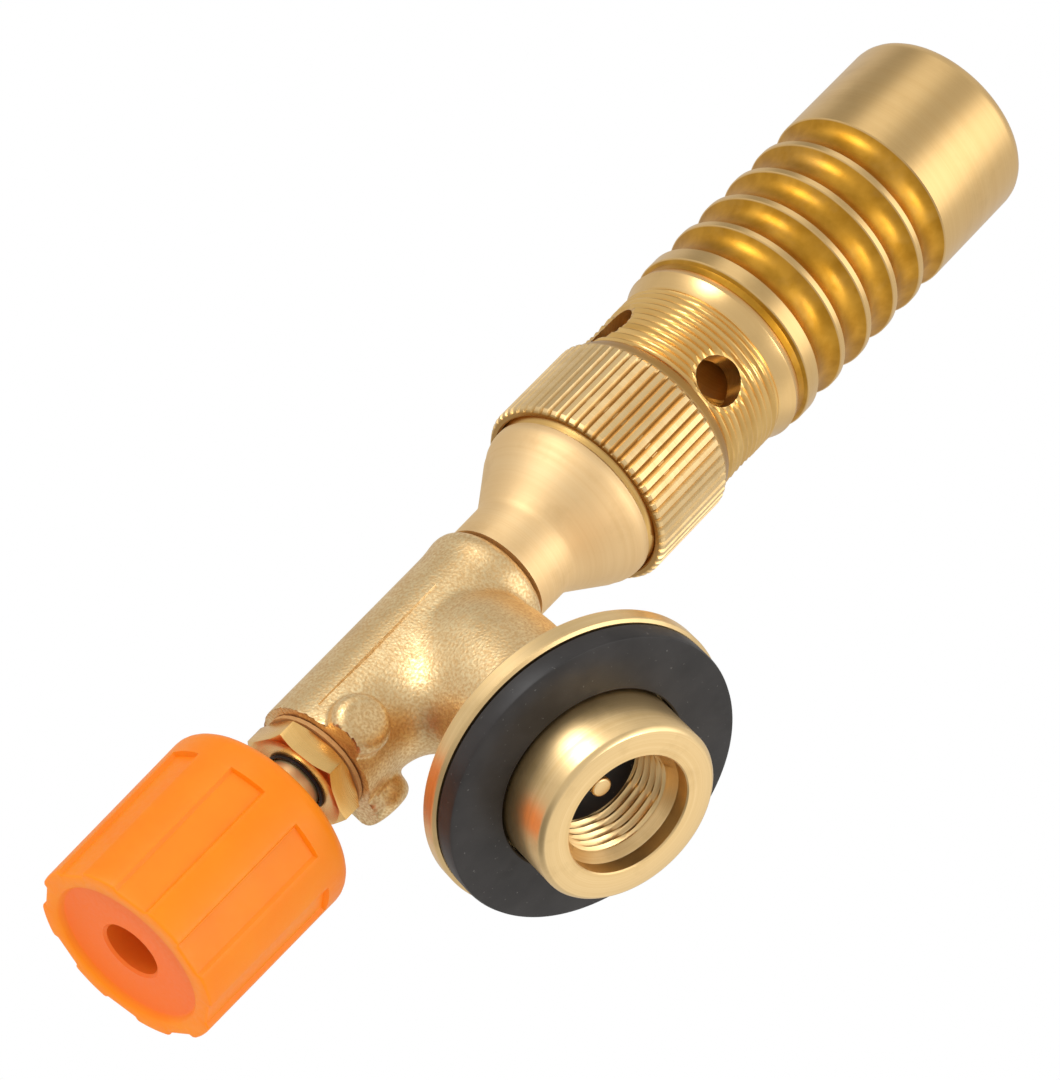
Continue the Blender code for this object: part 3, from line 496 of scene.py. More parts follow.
def rubber(name, axis, colour, rough):
    material, tree, shader, place = newMaterial(name, axis)
    grain = useGroup(tree, skinGrain, place, Scale=5200.0)
    wear = useGroup(tree, handlingMarks, place)
    specks = spread(tree, noise(tree, place, 2300.0, 2.0, 0.5), 0.70, 0.76, 0.0, 0.5)
    lighter = tuple(min(1, c * 1.5 + 0.01) for c in colour)
    mixed = mixColours(tree, spread(tree, grain.outputs["Patches"], 0.4, 0.65, 0.0, 0.6), colour, lighter)
    mixed = mixColours(tree, specks, mixed, (0.16, 0.15, 0.14))
    link(tree, mixed, shader.inputs["Base Color"])
    roughness = spread(tree, wear.outputs["Stain"], 0.0, 1.0, rough, rough + 0.14)
    shader.inputs["Specular IOR Level"].default_value = 0.38
    link(tree, roughness, shader.inputs["Roughness"])
    addBump(tree, shader, grain.outputs["Height"], 0.25, 0.012)
    return material


def plainPlastic(name, axis, colour, rough):
    material, tree, shader, place = newMaterial(name, axis)
    grain = useGroup(tree, skinGrain, place, Scale=2600.0)
    darker = tuple(c * 0.86 for c in colour)
    link(tree, mixColours(tree, grain.outputs["Tone"], colour, darker), shader.inputs["Base Color"])
    link(tree, spread(tree, grain.outputs["Tone"], 0.3, 0.7, rough, rough + 0.12), shader.inputs["Roughness"])
    addBump(tree, shader, grain.outputs["Height"], 0.15, 0.01)
    return material


def platedSteel(name, axis):
    material, tree, shader, place = newMaterial(name, axis)
    marks = useGroup(tree, latheMarks, place, Fineness=8.0)
    colour = mixColours(tree, marks.outputs["Tone"], (0.50, 0.51, 0.53), (0.72, 0.73, 0.75))
    link(tree, colour, shader.inputs["Base Color"])
    link(tree, spread(tree, marks.outputs["Tone"], 0.3, 0.7, 0.40, 0.25), shader.inputs["Roughness"])
    shader.inputs["Metallic"].default_value = 1.0
    addBump(tree, shader, marks.outputs["Height"], 0.2, 0.01)
    return material


def sinteredBronze(name, axis):
    material, tree, shader, place = newMaterial(name, axis)
    grain = useGroup(tree, skinGrain, place, Scale=5200.0)
    tone = spread(tree, grain.outputs["Height"], 0.5, 1.0, 0.0, 1.0)
    link(tree, mixColours(tree, tone, (0.20, 0.12, 0.06), (0.62, 0.44, 0.25)), shader.inputs["Base Color"])
    link(tree, spread(tree, tone, 0.0, 1.0, 0.9, 0.6), shader.inputs["Roughness"])
    shader.inputs["Metallic"].default_value = 0.8
    addBump(tree, shader, grain.outputs["Height"], 1.0, 0.05)
    return material


satinLook = {
    "light": (0.92, 0.67, 0.36), "shade": (0.87, 0.62, 0.32), "stain": (0.68, 0.45, 0.20), "rough": (0.52, 0.62),
}
# brass colour with a painted reflection: more orange and saturated than plain brass, for the orange knob reflected in
# the nut
nutLookWithReflection = {"light": (1.0, 0.64, 0.24), "shade": (0.90, 0.54, 0.18), "stain": (0.60, 0.34, 0.12), "rough": (0.20, 0.32)}
# painted light: the spindle's colours are raised above plain brass to make up for the knob's shadow on it
stemLookWithPaintedLight = {"light": (1.0, 0.86, 0.50), "shade": (1.0, 0.76, 0.38), "stain": (0.76, 0.48, 0.20), "rough": (0.34, 0.46)}
paleLook = {"light": (0.99, 0.72, 0.37), "shade": (0.88, 0.61, 0.28), "stain": (0.60, 0.39, 0.16), "rough": (0.28, 0.43)}

bodyBrass = forgedBrass("forgedBody", burnerAxis)
neckBrass = turnedBrass("satinNeck", burnerAxis, 5.0, 0.07, satinLook)
# the knurl valleys are painted a dark gold as their shade
sleeveBrass = turnedBrass("knurledSleeve", burnerAxis, 6.0, 0.2, paleLook, (9.5, 9.82), (0.50, 0.28, 0.08))
tubeBrass = burnerGold("burnerGold", burnerAxis)
nutBrass = turnedBrass("brightNut", burnerAxis, 5.0, 0.15, nutLookWithReflection)
stemBrass = turnedBrass("turnedStem", burnerAxis, 9.0, 0.3, stemLookWithPaintedLight)
innerBrass = turnedBrass("innerBrass", burnerAxis, 7.0, 0.25, turnedLook)
bossBrass = turnedBrass("bossBrass", cartridgeAxis, 8.0, 0.30, paleLook)
discBrass = turnedBrass("discBrass", cartridgeAxis, 8.0, 0.22, paleLook)
orangePlastic = mouldedPlastic("orangeKnob", burnerAxis)
padRubber = rubber("padRubber", cartridgeAxis, (0.019, 0.016, 0.015), 0.44)
sealRubber = rubber("sealRubber", cartridgeAxis, (0.010, 0.009, 0.009), 0.5)
ringRubber = rubber("ringRubber", burnerAxis, (0.018, 0.018, 0.019), 0.4)
brownFibre = rubber("brownFibre", burnerAxis, (0.62, 0.33, 0.12), 0.5)
whitePtfe = plainPlastic("whitePtfe", burnerAxis, (0.80, 0.80, 0.77), 0.4)
zincSteel = platedSteel("zincSteel", burnerAxis)
porousBronze = sinteredBronze("porousBronze", burnerAxis)
print("materials made")


# control knob

knobShape = {
    "sides": 256, "draft": 0.2, "rearRound": 1.6, "endRound": 0.25, "rim": 1.95, "recess": 0.6,
    "hole": 2.8, "wall": 2.2, "hub": 4.5, "floor": 4.6, "grip": 10.7, "web": 1.2, "stemBore": 2.75,
    "screwBore": 1.45, "flutes": 8, "fluteTurn": 19.5, "fluteDepth": 0.55, "fluteColumns": 7, "fluteStop": 3.35,
}


def makeKnob(shape):
    low, high, radius = spanOf("control_knob", burnerAxis)
    narrow = radius - shape["draft"]
    stop = high - shape["fluteStop"]
    webTop = high - shape["grip"] - 0.2
    webFoot = webTop - shape["web"]
    floorTop = low + shape["recess"] + shape["floor"]
    inner = radius - shape["wall"]
    rearCentre = (radius - shape["rearRound"], high - shape["rearRound"])
    endCentre = (narrow - shape["endRound"], low + shape["endRound"])
    rimIn = narrow - shape["rim"]

    def wallRadius(height):
        return narrow + shape["draft"] * (height - low) / (rearCentre[1] - low)

    wall = [stop + 0.8, stop + 0.12, stop, stop - 0.14, stop - 0.5]
    wall += [stop - 0.5 - (stop - 0.5 - low - 1.0) * i / 8 for i in range(1, 9)]
    points = [
        (inner, high), *roundOff(rearCentre, shape["rearRound"], 90, 0, 7),
        *[(wallRadius(height), height) for height in wall],
        *roundOff(endCentre, shape["endRound"], 0, -90, 4),
        (rimIn + 0.2, low), (rimIn, low + 0.15), (rimIn - 0.15, low + shape["recess"] - 0.12),
        (rimIn - 0.3, low + shape["recess"]),
        (shape["hole"] + 0.25, low + shape["recess"]), (shape["hole"], low + shape["recess"] + 0.25),
        (shape["hole"], webFoot), (shape["screwBore"], webFoot), (shape["screwBore"], webTop),
        (shape["stemBore"], webTop), (shape["stemBore"], high - 0.2), (shape["stemBore"] + 0.2, high),
        (shape["hub"], high), (shape["hub"], floorTop), (inner, floorTop),
    ]
    knob = spinProfile("knobShell", points, shape["sides"])
    step = 360 / shape["sides"]
    # flutes: whole columns of the wall are pulled in to a flat floor
    first = round((shape["fluteTurn"] - 90) / step)
    period = shape["sides"] // shape["flutes"]
    floor = narrow - shape["fluteDepth"]
    reach = shape["fluteColumns"]

    def columnFrom(angle):
        offset = (round(angle / step) - first) % period
        return min(offset, period - offset)

    for column in range(reach + 2):
        if column <= reach:
            factor = floor / math.cos(math.radians(column * step)) / narrow
        else:
            factor = 0.994
        squeeze(knob, factor, lambda r, angle, z: r > rimIn + 0.3 and z < stop - 0.05 and columnFrom(angle) == column)
    settle(knob, burnerAxis)
    finishPiece(knob, "knob", "control_knob", orangePlastic, 40)


makeKnob(knobShape)
print("knob made")


# screw at the floor of the knob's hole

screwShape = {"shank": 1.25, "head": 2.3, "headHeight": 1.4, "slot": 0.5, "slotDepth": 0.6}


def makeKnobScrew(shape):
    low, high, _ = spanOf("knob_screw", burnerAxis)
    seat = low + shape["headHeight"]
    dome = [(shape["head"] * math.sin(math.radians(a)), seat - 0.4 - (shape["headHeight"] - 0.4) * math.cos(math.radians(a)))
            for a in range(0, 91, 15)]
    points = [(0, high), (shape["shank"] - 0.2, high), (shape["shank"], high - 0.2), (shape["shank"], seat),
              (shape["head"], seat), *reversed(dome[1:]), (0, low)]
    screw = spinProfile("crossScrew", points, 48, ring=False)
    size = (1.3 * shape["head"], shape["slot"], 2 * shape["slotDepth"])
    for angle in (45, 135):
        joinCut(screw, block("screwSlot", size, (0, 0, low), (0, 0, math.radians(angle))))
    settle(screw, burnerAxis)
    finishPiece(screw, "knob", "knob_screw", zincSteel)


makeKnobScrew(screwShape)


# spindle

spindleShape = {"rod": 2.6, "end": 0.4, "groove": 0.22}


def makeSpindle(shape):
    low, high, collar = spanOf("spindle", burnerAxis)
    rodRadius = shape["rod"]
    collarFoot = -12.65
    seal = [(2.9, -7.6), (2.9, -8.0), (1.96, -8.03), (1.96, -9.17), (2.9, -9.2), (2.9, collarFoot + 0.7)]
    points = [
        (0, high), (0.12, high - 0.02), (0.2, high - 0.1), (1.5, high - 2.2), (1.5, -7.2), *seal,
        (collar, collarFoot + 0.7), (collar, collarFoot), (rodRadius, collarFoot),
        (rodRadius, -20.6), (rodRadius - shape["groove"], -20.75), (rodRadius - shape["groove"], -21.2),
        (rodRadius, -21.35), (rodRadius, low + shape["end"]), (rodRadius - shape["end"], low),
        (1.45, low), (1.45, low + 5.0), (0, low + 5.8),
    ]
    spindle = spinProfile("valveSpindle", points, 96, ring=False)
    settle(spindle, burnerAxis)
    finishPiece(spindle, "knob", "spindle", stemBrass)


makeSpindle(spindleShape)


# gland nut and the black ring in its face

nutShape = {"flats": 9.7, "turn": 55.4, "bore": 2.75, "recess": 2.95, "recessDepth": 0.62, "dish": 4.3, "edge": 0.05}


def makeGlandNut(shape):
    low, high, _ = spanOf("gland_nut", burnerAxis)
    seat = low + 2.5
    flat = shape["flats"] / 2
    corner = flat / math.cos(math.radians(30))
    nut = rod("glandNut", corner, seat - low, (0, 0, (seat + low) / 2), (0, 0, 1), 6)
    selectOnly(nut)
    nut.rotation_euler.rotate_axis("Z", math.radians(shape["turn"]))
    bpy.ops.object.transform_apply(location=True, rotation=True, scale=True)
    form = spinProfile("nutForm", [
        (0, seat), (flat + 0.1, seat), (corner + 0.05, seat - 0.35), (corner + 0.05, low + 0.42), (flat + 0.12, low), (0, low),
    ], 128, ring=False)
    joinCut(nut, form, "INTERSECT")
    neck = spinProfile("nutSpigot", [(0, high), (3.8, high), (4.0, high - 0.2), (4.0, seat - 1), (0, seat - 1)], 64, ring=False)
    joinCut(nut, neck, "UNION")
    bore = spinProfile("nutBore", [
        (0, high + 1), (shape["bore"], high + 1), (shape["bore"], low + shape["recessDepth"]),
        (shape["recess"], low + shape["recessDepth"]), (shape["recess"], low + 0.28), (shape["dish"], low),
        (shape["dish"] + 0.4, low - 1), (0, low - 1),
    ], 96, ring=False)
    joinCut(nut, bore)
    addModifier(nut, "BEVEL", width=shape["edge"] * mm, segments=2, limit_method="ANGLE", angle_limit=math.radians(28))
    settle(nut, burnerAxis)
    finishPiece(nut, "torch_body", "gland_nut", nutBrass, 26)


wiperShape = {"slim": 0.12, "width": 0.28}


def makeWiper():
    low, high, radius = spanOf("spindle_wiper", burnerAxis)
    radius -= wiperShape["slim"]
    inner = radius - wiperShape["width"]
    soft = roundOff(((radius + inner) / 2, low + wiperShape["width"] / 2), wiperShape["width"] / 2, 0, -180, 10)
    ring = spinProfile("wiperRing", [(radius, high), *soft, (inner, high)], 96)
    settle(ring, burnerAxis)
    finishPiece(ring, "torch_body", "spindle_wiper", sealRubber, 40)


makeWiper()
makeGlandNut(nutShape)
print("spindle, screw and gland nut made")


# valve body

bodyShape = {
    "barrel": 5.94, "lip": 0.32, "branch": 7.16, "flare": 0.8, "voxel": 0.22, "blending": 60, "smoothing": 18,
    "saddle": (-6.6, -7.4), "saddleReach": 7.0, "saddleBlending": 320,
    "lugTurn": 43, "lugHeight": 1.9, "lugRadius": 2.8, "lugRound": 1.2, "lugPlace": 2.1,
    "seam": 5, "seamLength": 16.5, "seamHeight": 0.17, "seamWidth": 0.5,
}


def makeValveBody(shape):
    low, high, _ = spanOf("valve_body", burnerAxis)
    foot = spanOf("valve_body", cartridgeAxis)[0]
    radius = shape["barrel"]
    lip = radius + shape["lip"]
    nose = [(radius - 0.6, high), (lip - 0.2, high - 0.4), (lip, high - 0.8), (lip, high - 1.5), (radius, high - 2.7)]
    body = spinProfile("forgedBody", [(0, high), *nose, (radius, low - 1.5), (0, low - 1.5)], 96, ring=False)
    settle(body, burnerAxis)

    # branch down to the connector, with a domed top that stays inside the barrel
    tall = crossing.z / mm
    branch = shape["branch"]
    outline = [
        (0, tall - 0.6), (0.45 * branch, tall - 0.8), (0.78 * branch, tall - 2.6), (0.96 * branch, tall - 6.0),
        (branch, tall - 9.0), (branch, foot + 3.4), (branch + 0.3 * shape["flare"], foot + 1.6),
        (branch + shape["flare"], foot), (branch + shape["flare"] + 0.1, foot - 1.5), (0, foot - 1.5),
    ]
    joinCut(body, spinProfile("branchForm", outline, 96, ring=False), "UNION")

    # the branch runs out into the barrel in a soft web on its gland side
    deselectAll()
    bpy.ops.mesh.primitive_uv_sphere_add(segments=48, ring_count=24, radius=mm, location=(-6.2 * mm, 0, (tall - 7.2) * mm),
                                         scale=(3.8, 4.9, 4.4))
    joinCut(body, bpy.context.object, "UNION")

    # soften the blend between barrel and branch, most of all on its gland side
    addModifier(body, "REMESH", mode="VOXEL", voxel_size=1.4 * shape["voxel"] * mm)
    addModifier(body, "SMOOTH", factor=0.5, iterations=shape["blending"])
    saddle = Vector((shape["saddle"][0], 0, tall + shape["saddle"][1]))
    group = body.vertex_groups.new(name="saddle")
    for vertex in body.data.vertices:
        place = vertex.co / mm - saddle
        weight = 1.6 * (1 - math.hypot(place.x, place.z) / shape["saddleReach"])
        if weight > 0:
            group.add([vertex.index], min(weight, 1), "REPLACE")
    addModifier(body, "SMOOTH", factor=0.5, iterations=shape["saddleBlending"], vertex_group=group.name)
    body.vertex_groups.clear()

    # a lug on each side, near the gland: a low round boss with a flat top
    for side in (1, -1):
        turn = math.radians(shape["lugTurn"])
        out = Vector((math.sin(turn), -side * math.cos(turn), 0))
        place = out * (radius + shape["lugHeight"] / 2 - 0.5) + Vector((0, 0, low + shape["lugPlace"]))
        lug = rod("lugForm", shape["lugRadius"], shape["lugHeight"] + 1, place, out)
        selectOnly(lug)
        bpy.ops.object.transform_apply(location=True, rotation=True, scale=True)
        addModifier(lug, "BEVEL", width=shape["lugRound"] * mm, segments=5, limit_method="ANGLE", angle_limit=math.radians(50))
        settle(lug, burnerAxis)
        joinCut(body, lug, "UNION")

    addModifier(body, "REMESH", mode="VOXEL", voxel_size=shape["voxel"] * mm)
    addModifier(body, "SMOOTH", factor=0.5, iterations=shape["smoothing"])

    # parting line of the forging along each side of the barrel
    for side in (1, -1):
        turn = math.radians(shape["seam"])
        out = Vector((math.sin(turn), -side * math.cos(turn), 0))
        deselectAll()
        bpy.ops.mesh.primitive_cylinder_add(vertices=3, radius=shape["seamWidth"] / 2 * mm, depth=shape["seamLength"] * mm)
        seam = bpy.context.object
        seam.rotation_euler = (0, 0, math.atan2(out.y, out.x) - math.pi / 2)
        place = out * (radius - 0.08 + shape["seamHeight"] - shape["seamWidth"] / 2)
        seam.location = Vector((place.x, place.y, low + 1.5 + shape["seamLength"] / 2)) * mm
        bpy.context.view_layer.update()
        settle(seam, burnerAxis)
        joinCut(body, seam, "UNION")

    # trim the gland end and the foot square, then bore it
    selectOnly(body)
    bpy.ops.object.mode_set(mode="EDIT")
    bpy.ops.mesh.select_all(action="SELECT")
    gland = axisMatrix(burnerAxis) @ Vector((0, 0, low * mm))
    bpy.ops.mesh.bisect(plane_co=gland, plane_no=burnerWay, use_fill=True, clear_inner=True)
    bpy.ops.mesh.select_all(action="SELECT")
    bpy.ops.mesh.bisect(plane_co=(0, 0, foot * mm), plane_no=(0, 0, 1), use_fill=True, clear_inner=True)
    bpy.ops.object.mode_set(mode="OBJECT")
    bore = spinProfile("barrelBore", [
        (0, 8), (4.2, 8), (4.2, 3.0), (0.8, 3.0), (0.8, 1.9), (2.3, 1.9), (2.3, -6), (3.1, -6), (3.1, -11),
        (4.2, -11), (4.2, low - 1), (0, low - 1),
    ], 48, ring=False)
    settle(bore, burnerAxis)
    joinCut(body, bore)
    inlet = spinProfile("inletBore", [
        (0, tall), (1.6, tall), (1.6, 15.6), (5.4, 15.6), (5.4, foot - 1), (0, foot - 1),
    ], 48, ring=False)
    joinCut(body, inlet)
    finishPiece(body, "torch_body", "valve_body", bodyBrass, 50)


makeValveBody(bodyShape)
print("valve body made")


# neck with its cone

neckShape = {"neck": 5.38, "length": 4.4, "cone": 8.85, "coneLength": 5.7, "band": 1.35, "spigot": 7.0}


def makeNeck(shape):
    low, high, radius = spanOf("burner_neck", burnerAxis)
    start = 7.2
    neckEnd = start + shape["length"]
    coneEnd = neckEnd + shape["coneLength"]
    rim = coneEnd + shape["band"]
    slope = (shape["cone"] - shape["neck"]) / shape["coneLength"]
    fillet = [(shape["neck"] + 0.02, neckEnd - 0.5), (shape["neck"] + 0.12, neckEnd + 0.05), (shape["neck"] + 0.38, neckEnd + 0.6)]
    cone = [(shape["neck"] + slope * (t - neckEnd), t) for t in (neckEnd + 1.6, neckEnd + 3.2, coneEnd - 1.0)]
    top = [(shape["cone"] - 0.42, coneEnd - 0.55), (shape["cone"] - 0.18, coneEnd - 0.1), (shape["cone"] - 0.04, coneEnd + 0.35)]
    points = [
        (shape["spigot"], high), (shape["spigot"], rim), (shape["cone"] - 0.15, rim), (shape["cone"], rim - 0.15),
        (shape["cone"], coneEnd + 0.7), *reversed(top), *reversed(cone), *reversed(fillet),
        (shape["neck"], start), (4.0, start), (4.0, low), (1.2, low),
        (1.2, high - 5.2), (2.5, high - 5.2), (2.5, high),
    ]
    neck = spinProfile("coneNeck", points, 160)
    settle(neck, burnerAxis)
    finishPiece(neck, "torch_body", "burner_neck", neckBrass, 24)


makeNeck(neckShape)


# knurled air sleeve

sleeveShape = {"teeth": 60, "columns": 8, "depth": 0.34, "chamfer": 0.45, "nose": 1.2, "bore": 9.0}


def makeSleeve(shape):
    low, high, radius = spanOf("air_sleeve", burnerAxis)
    bore = shape["bore"]
    grooveLow, grooveHigh = low + 3.0, low + 3.8
    points = [
        (bore + 0.1, high), (radius - 0.55, high - 0.45), (radius - 0.3, high - shape["nose"]),
        (radius, high - shape["nose"] - 0.35), *rows(radius, high - 2.4, low + 1.2, 6),
        (radius, low + shape["chamfer"]), (radius - 0.2, low + 0.12), (radius - 0.4, low), (bore + 0.15, low),
        (bore, low + 0.15), (bore, grooveLow), (9.6, grooveLow), (9.6, grooveHigh), (bore, grooveHigh), (bore, high - 0.1),
    ]
    sleeve = spinProfile("knurledRing", points, shape["teeth"] * shape["columns"])
    step = 360 / (shape["teeth"] * shape["columns"])

    def columnOf(angle):
        offset = round(angle / step) % shape["columns"]
        return min(offset, shape["columns"] - offset)

    for column, share in ((0, 1.0), (1, 0.62)):
        factor = 1 - shape["depth"] * share / radius
        squeeze(sleeve, factor, lambda r, angle, z: r > radius - 0.25 and columnOf(angle) == column)
    settle(sleeve, burnerAxis)
    finishPiece(sleeve, "sleeve", "air_sleeve", sleeveBrass, 22)


makeSleeve(sleeveShape)
print("neck and sleeve made")


# burner tube

tubeShape = {
    "sides": 144, "thread": 8.8, "pitch": 0.75, "threadDepth": 0.34, "threadRows": 7, "threadEnd": 38.8,
    "chamber": 6.6, "shoulder": 9.78, "shoulderEnd": 40.1, "undercut": 9.45, "bandStart": 41.95, "band": 9.9,
    "grooves": 5, "grooveFirst": 45.375, "grooveStep": 4.27, "grooveWidth": 3.62, "grooveDepth": 0.98,
    "headRound": 1.6, "cup": 8.2, "cupDepth": 11.4, "mixer": 5.1,
    "holes": 4, "hole": 2.43, "holePlace": 33.45, "holeTurn": 52.5,
}


def makeBurnerTube(shape):
    low, high, radius = spanOf("burner_tube", burnerAxis)
    thread, pitch = shape["thread"], shape["pitch"]
    threadLow, threadHigh = low + 0.6, shape["threadEnd"]
    count = int((threadHigh - threadLow) / pitch * shape["threadRows"])
    half = shape["grooveWidth"] / 2
    sweep = (half**2 + shape["grooveDepth"]**2) / (2 * shape["grooveDepth"])
    reach = math.degrees(math.asin(half / sweep))
    head = roundOff((radius - shape["headRound"], high - shape["headRound"]), shape["headRound"], 90, 0, 6)
    points = [*head]
    edge = 0.06
    lastEnd = shape["grooveFirst"] + shape["grooveStep"] * (shape["grooves"] - 1) + half
    points += [(radius, lastEnd + 5), (radius, lastEnd + 0.3), (shape["band"] + 0.02, lastEnd + edge)]
    for number in reversed(range(shape["grooves"])):
        middle = shape["grooveFirst"] + shape["grooveStep"] * number
        centre = (shape["band"] - shape["grooveDepth"] + sweep, middle)
        arc = roundOff(centre, sweep, 180 - reach, 180 + reach, 12)
        points += [(shape["band"] - edge, middle + half), *arc[1:-1], (shape["band"] - edge, middle - half)]
        points += [(shape["band"], middle - half - edge)]
        if number:
            points += [(shape["band"], middle - shape["grooveStep"] + half + edge)]
    points += [
        (shape["band"], shape["bandStart"] + 0.12), (shape["band"] - 0.1, shape["bandStart"]),
        (shape["undercut"] + 0.05, shape["bandStart"] - 0.2), (shape["undercut"], shape["bandStart"] - 0.4),
        (shape["undercut"], shape["shoulderEnd"] + 0.95), (shape["undercut"] + 0.08, shape["shoulderEnd"] + 0.8),
        (shape["shoulder"] - 0.06, shape["shoulderEnd"] + 0.12), (shape["shoulder"] - 0.1, shape["shoulderEnd"]),
        (thread + 0.15, threadHigh + 0.2),
        *rows(thread, threadHigh, threadLow, count), (thread - 0.4, low), (7.2, low), (7.2, low + 6.55),
        (shape["chamber"], low + 6.55), (shape["chamber"], threadHigh + 0.5), (shape["mixer"], threadHigh + 0.5),
        (shape["mixer"], high - shape["cupDepth"]), (shape["cup"], high - shape["cupDepth"]),
        (shape["cup"], high - 0.35), (shape["cup"] + 0.35, high),
    ]
    tube = spinProfile("burnerTube", points, shape["sides"])

    def threadDepthAt(r, angle, z):
        if r < thread - 0.05 or r > thread + 0.05 or not threadLow - 0.01 <= z <= threadHigh + 0.01:
            return 0
        phase = (z / pitch - angle / 360) % 1
        # the thread runs out round each air hole
        turn = (angle + 90 - shape["holeTurn"] + 180 / shape["holes"]) % (360 / shape["holes"]) - 180 / shape["holes"]
        away = math.hypot(thread * math.sin(math.radians(turn)), z - shape["holePlace"]) - shape["hole"]
        fade = min(1, (threadHigh - z) / 0.5, (z - threadLow) / 0.5, (away - 0.1) / 0.3)
        return max(0, fade) * min(1, 1.25 * (1 - abs(2 * phase - 1)))

    engrave(tube, shape["threadDepth"], threadDepthAt)
    for number in range(shape["holes"]):
        turn = math.radians(shape["holeTurn"] + 360 * number / shape["holes"])
        way = Vector((math.sin(turn), -math.cos(turn), 0))
        place = way * 8.0 + Vector((0, 0, shape["holePlace"]))
        joinCut(tube, rod("airHole", shape["hole"], 6, place, way, 64))
    settle(tube, burnerAxis)
    finishPiece(tube, "torch_body", "burner_tube", tubeBrass, 28)


makeBurnerTube(tubeShape)
print("burner tube made")


# mixing tube, flame holder, jet and its holder

innerShape = {"mouth": 4.3, "throat": 3.2, "throatDepth": 7.0, "ports": 12, "port": 0.7, "centrePort": 3.2}


def makeBurnerInside(shape):
    low, high, radius = spanOf("mixing_tube", burnerAxis)
    throat = low + shape["throatDepth"]
    curve = [(shape["throat"] + (shape["mouth"] - shape["throat"]) * (1 - i / 8) ** 2, low + shape["throatDepth"] * i / 8)
             for i in range(9)]
    mixer = spinProfile("mixingTube", [
        (radius, high), (radius, low + 0.2), (radius - 0.2, low), *curve, (shape["throat"] + 0.05, throat + 1),
        (shape["mouth"] - 0.1, high),
    ], 96)
    settle(mixer, burnerAxis)
    finishPiece(mixer, "torch_body", "mixing_tube", innerBrass)

    low, high, radius = spanOf("flame_holder", burnerAxis)
    middle = shape["centrePort"]
    disc = spinProfile("flameDisc", [
        (radius - 0.2, high), (radius, high - 0.2), (radius, low), (middle, low), (middle, high - 0.25), (middle + 0.25, high),
        (middle + 0.9, high), (middle + 1.05, high - 0.25), (middle + 1.3, high - 0.25), (middle + 1.45, high),
    ], 96)
    circle = (radius + middle) / 2 + 0.3
    for number in range(shape["ports"]):
        turn = 2 * math.pi * number / shape["ports"]
        place = Vector((math.sin(turn) * circle, -math.cos(turn) * circle, (low + high) / 2))
        joinCut(disc, rod("flamePort", shape["port"], high - low + 2, place, (0, 0, 1), 24))
    settle(disc, burnerAxis)
    finishPiece(disc, "torch_body", "flame_holder", innerBrass)

    low, high, radius = spanOf("jet_holder", burnerAxis)
    seat = low + 4.2
    holder = spinProfile("jetHolder", [
        (1.9, high), (2.6, high - 0.35), (2.6, seat + 2.0), (radius - 0.3, seat + 2.0), (radius, seat + 1.7), (radius, seat),
        (2.3, seat), (2.3, low + 0.3), (2.0, low), (1.2, low), (1.2, seat - 0.4), (1.7, seat - 0.4), (1.7, high),
    ], 72)
    settle(holder, burnerAxis)
    finishPiece(holder, "torch_body", "jet_holder", innerBrass)

    low, high, radius = spanOf("jet", burnerAxis)
    jet = spinProfile("gasJet", [
        (0.6, high), (0.95, high - 0.15), (radius - 0.1, high - 1.35), (radius, high - 1.6), (radius, low + 3.0), (1.5, low + 3.0),
        (1.5, low), (0.75, low), (0.75, high - 0.9), (0.25, high - 0.6), (0.25, high),
    ], 64)
    settle(jet, burnerAxis)
    finishPiece(jet, "torch_body", "jet", innerBrass)


makeBurnerInside(innerShape)
print("burner's inside made")


# threaded boss

bossShape = {
    "sides": 144, "chamfer": 0.35, "mouth": 6.0, "mouthDepth": 1.5, "bore": 5.1, "pitch": 0.907, "threadDepth": 0.5,
    "threadRows": 8, "spigot": 5.2,
}


def makeBoss(shape):
    low, high, radius = spanOf("inlet_boss", cartridgeAxis)
    shoulder = spanOf("canister_disc", cartridgeAxis)[0] - 0.2
    bore, depth = shape["bore"], spanOf("inlet_seal", cartridgeAxis)[1] + 0.2
    start = shape["mouthDepth"] + shape["mouth"] - bore
    count = int((depth - start) / shape["pitch"] * shape["threadRows"])
    points = [
        (shape["spigot"] - 0.2, high), (shape["spigot"], high - 0.2), (shape["spigot"], shoulder), (radius, shoulder),
        (radius, low + 0.55), (radius - 0.1, low + shape["chamfer"]), (radius - shape["chamfer"], low + 0.06),
        (radius - shape["chamfer"] - 0.15, low), (shape["mouth"] + 0.12, low), (shape["mouth"], low + 0.12),
        (shape["mouth"], low + shape["mouthDepth"]), *rows(bore, low + start, depth, count),
        (2.8, depth), (2.8, depth + 1.1), (1.3, depth + 1.1), (1.3, high - 1.6), (2.5, high - 1.6), (2.5, high),
    ]
    boss = spinProfile("threadedBoss", points, shape["sides"])

    def threadDepthAt(r, angle, z):
        if not bore - 0.05 <= r <= bore + 0.05 or not start - 0.01 <= z <= depth - 0.3:
            return 0
        phase = (z / shape["pitch"] - angle / 360) % 1
        fade = min(1, (z - start + 0.25) / 0.4)
        return fade * min(1, 1.3 * (1 - abs(2 * phase - 1)))

    engrave(boss, shape["threadDepth"], threadDepthAt)
    settle(boss, cartridgeAxis)
    finishPiece(boss, "torch_body", "inlet_boss", bossBrass, 28)


makeBoss(bossShape)


# brass disc, rubber pad, seal and pin

discShape = {"chamfer": 0.28, "hole": 5.4}
padShape = {"chamfer": 0.32, "hole": 9.12}
pinShape = {"flange": 2.6, "stem": 1.1, "point": 0.22}


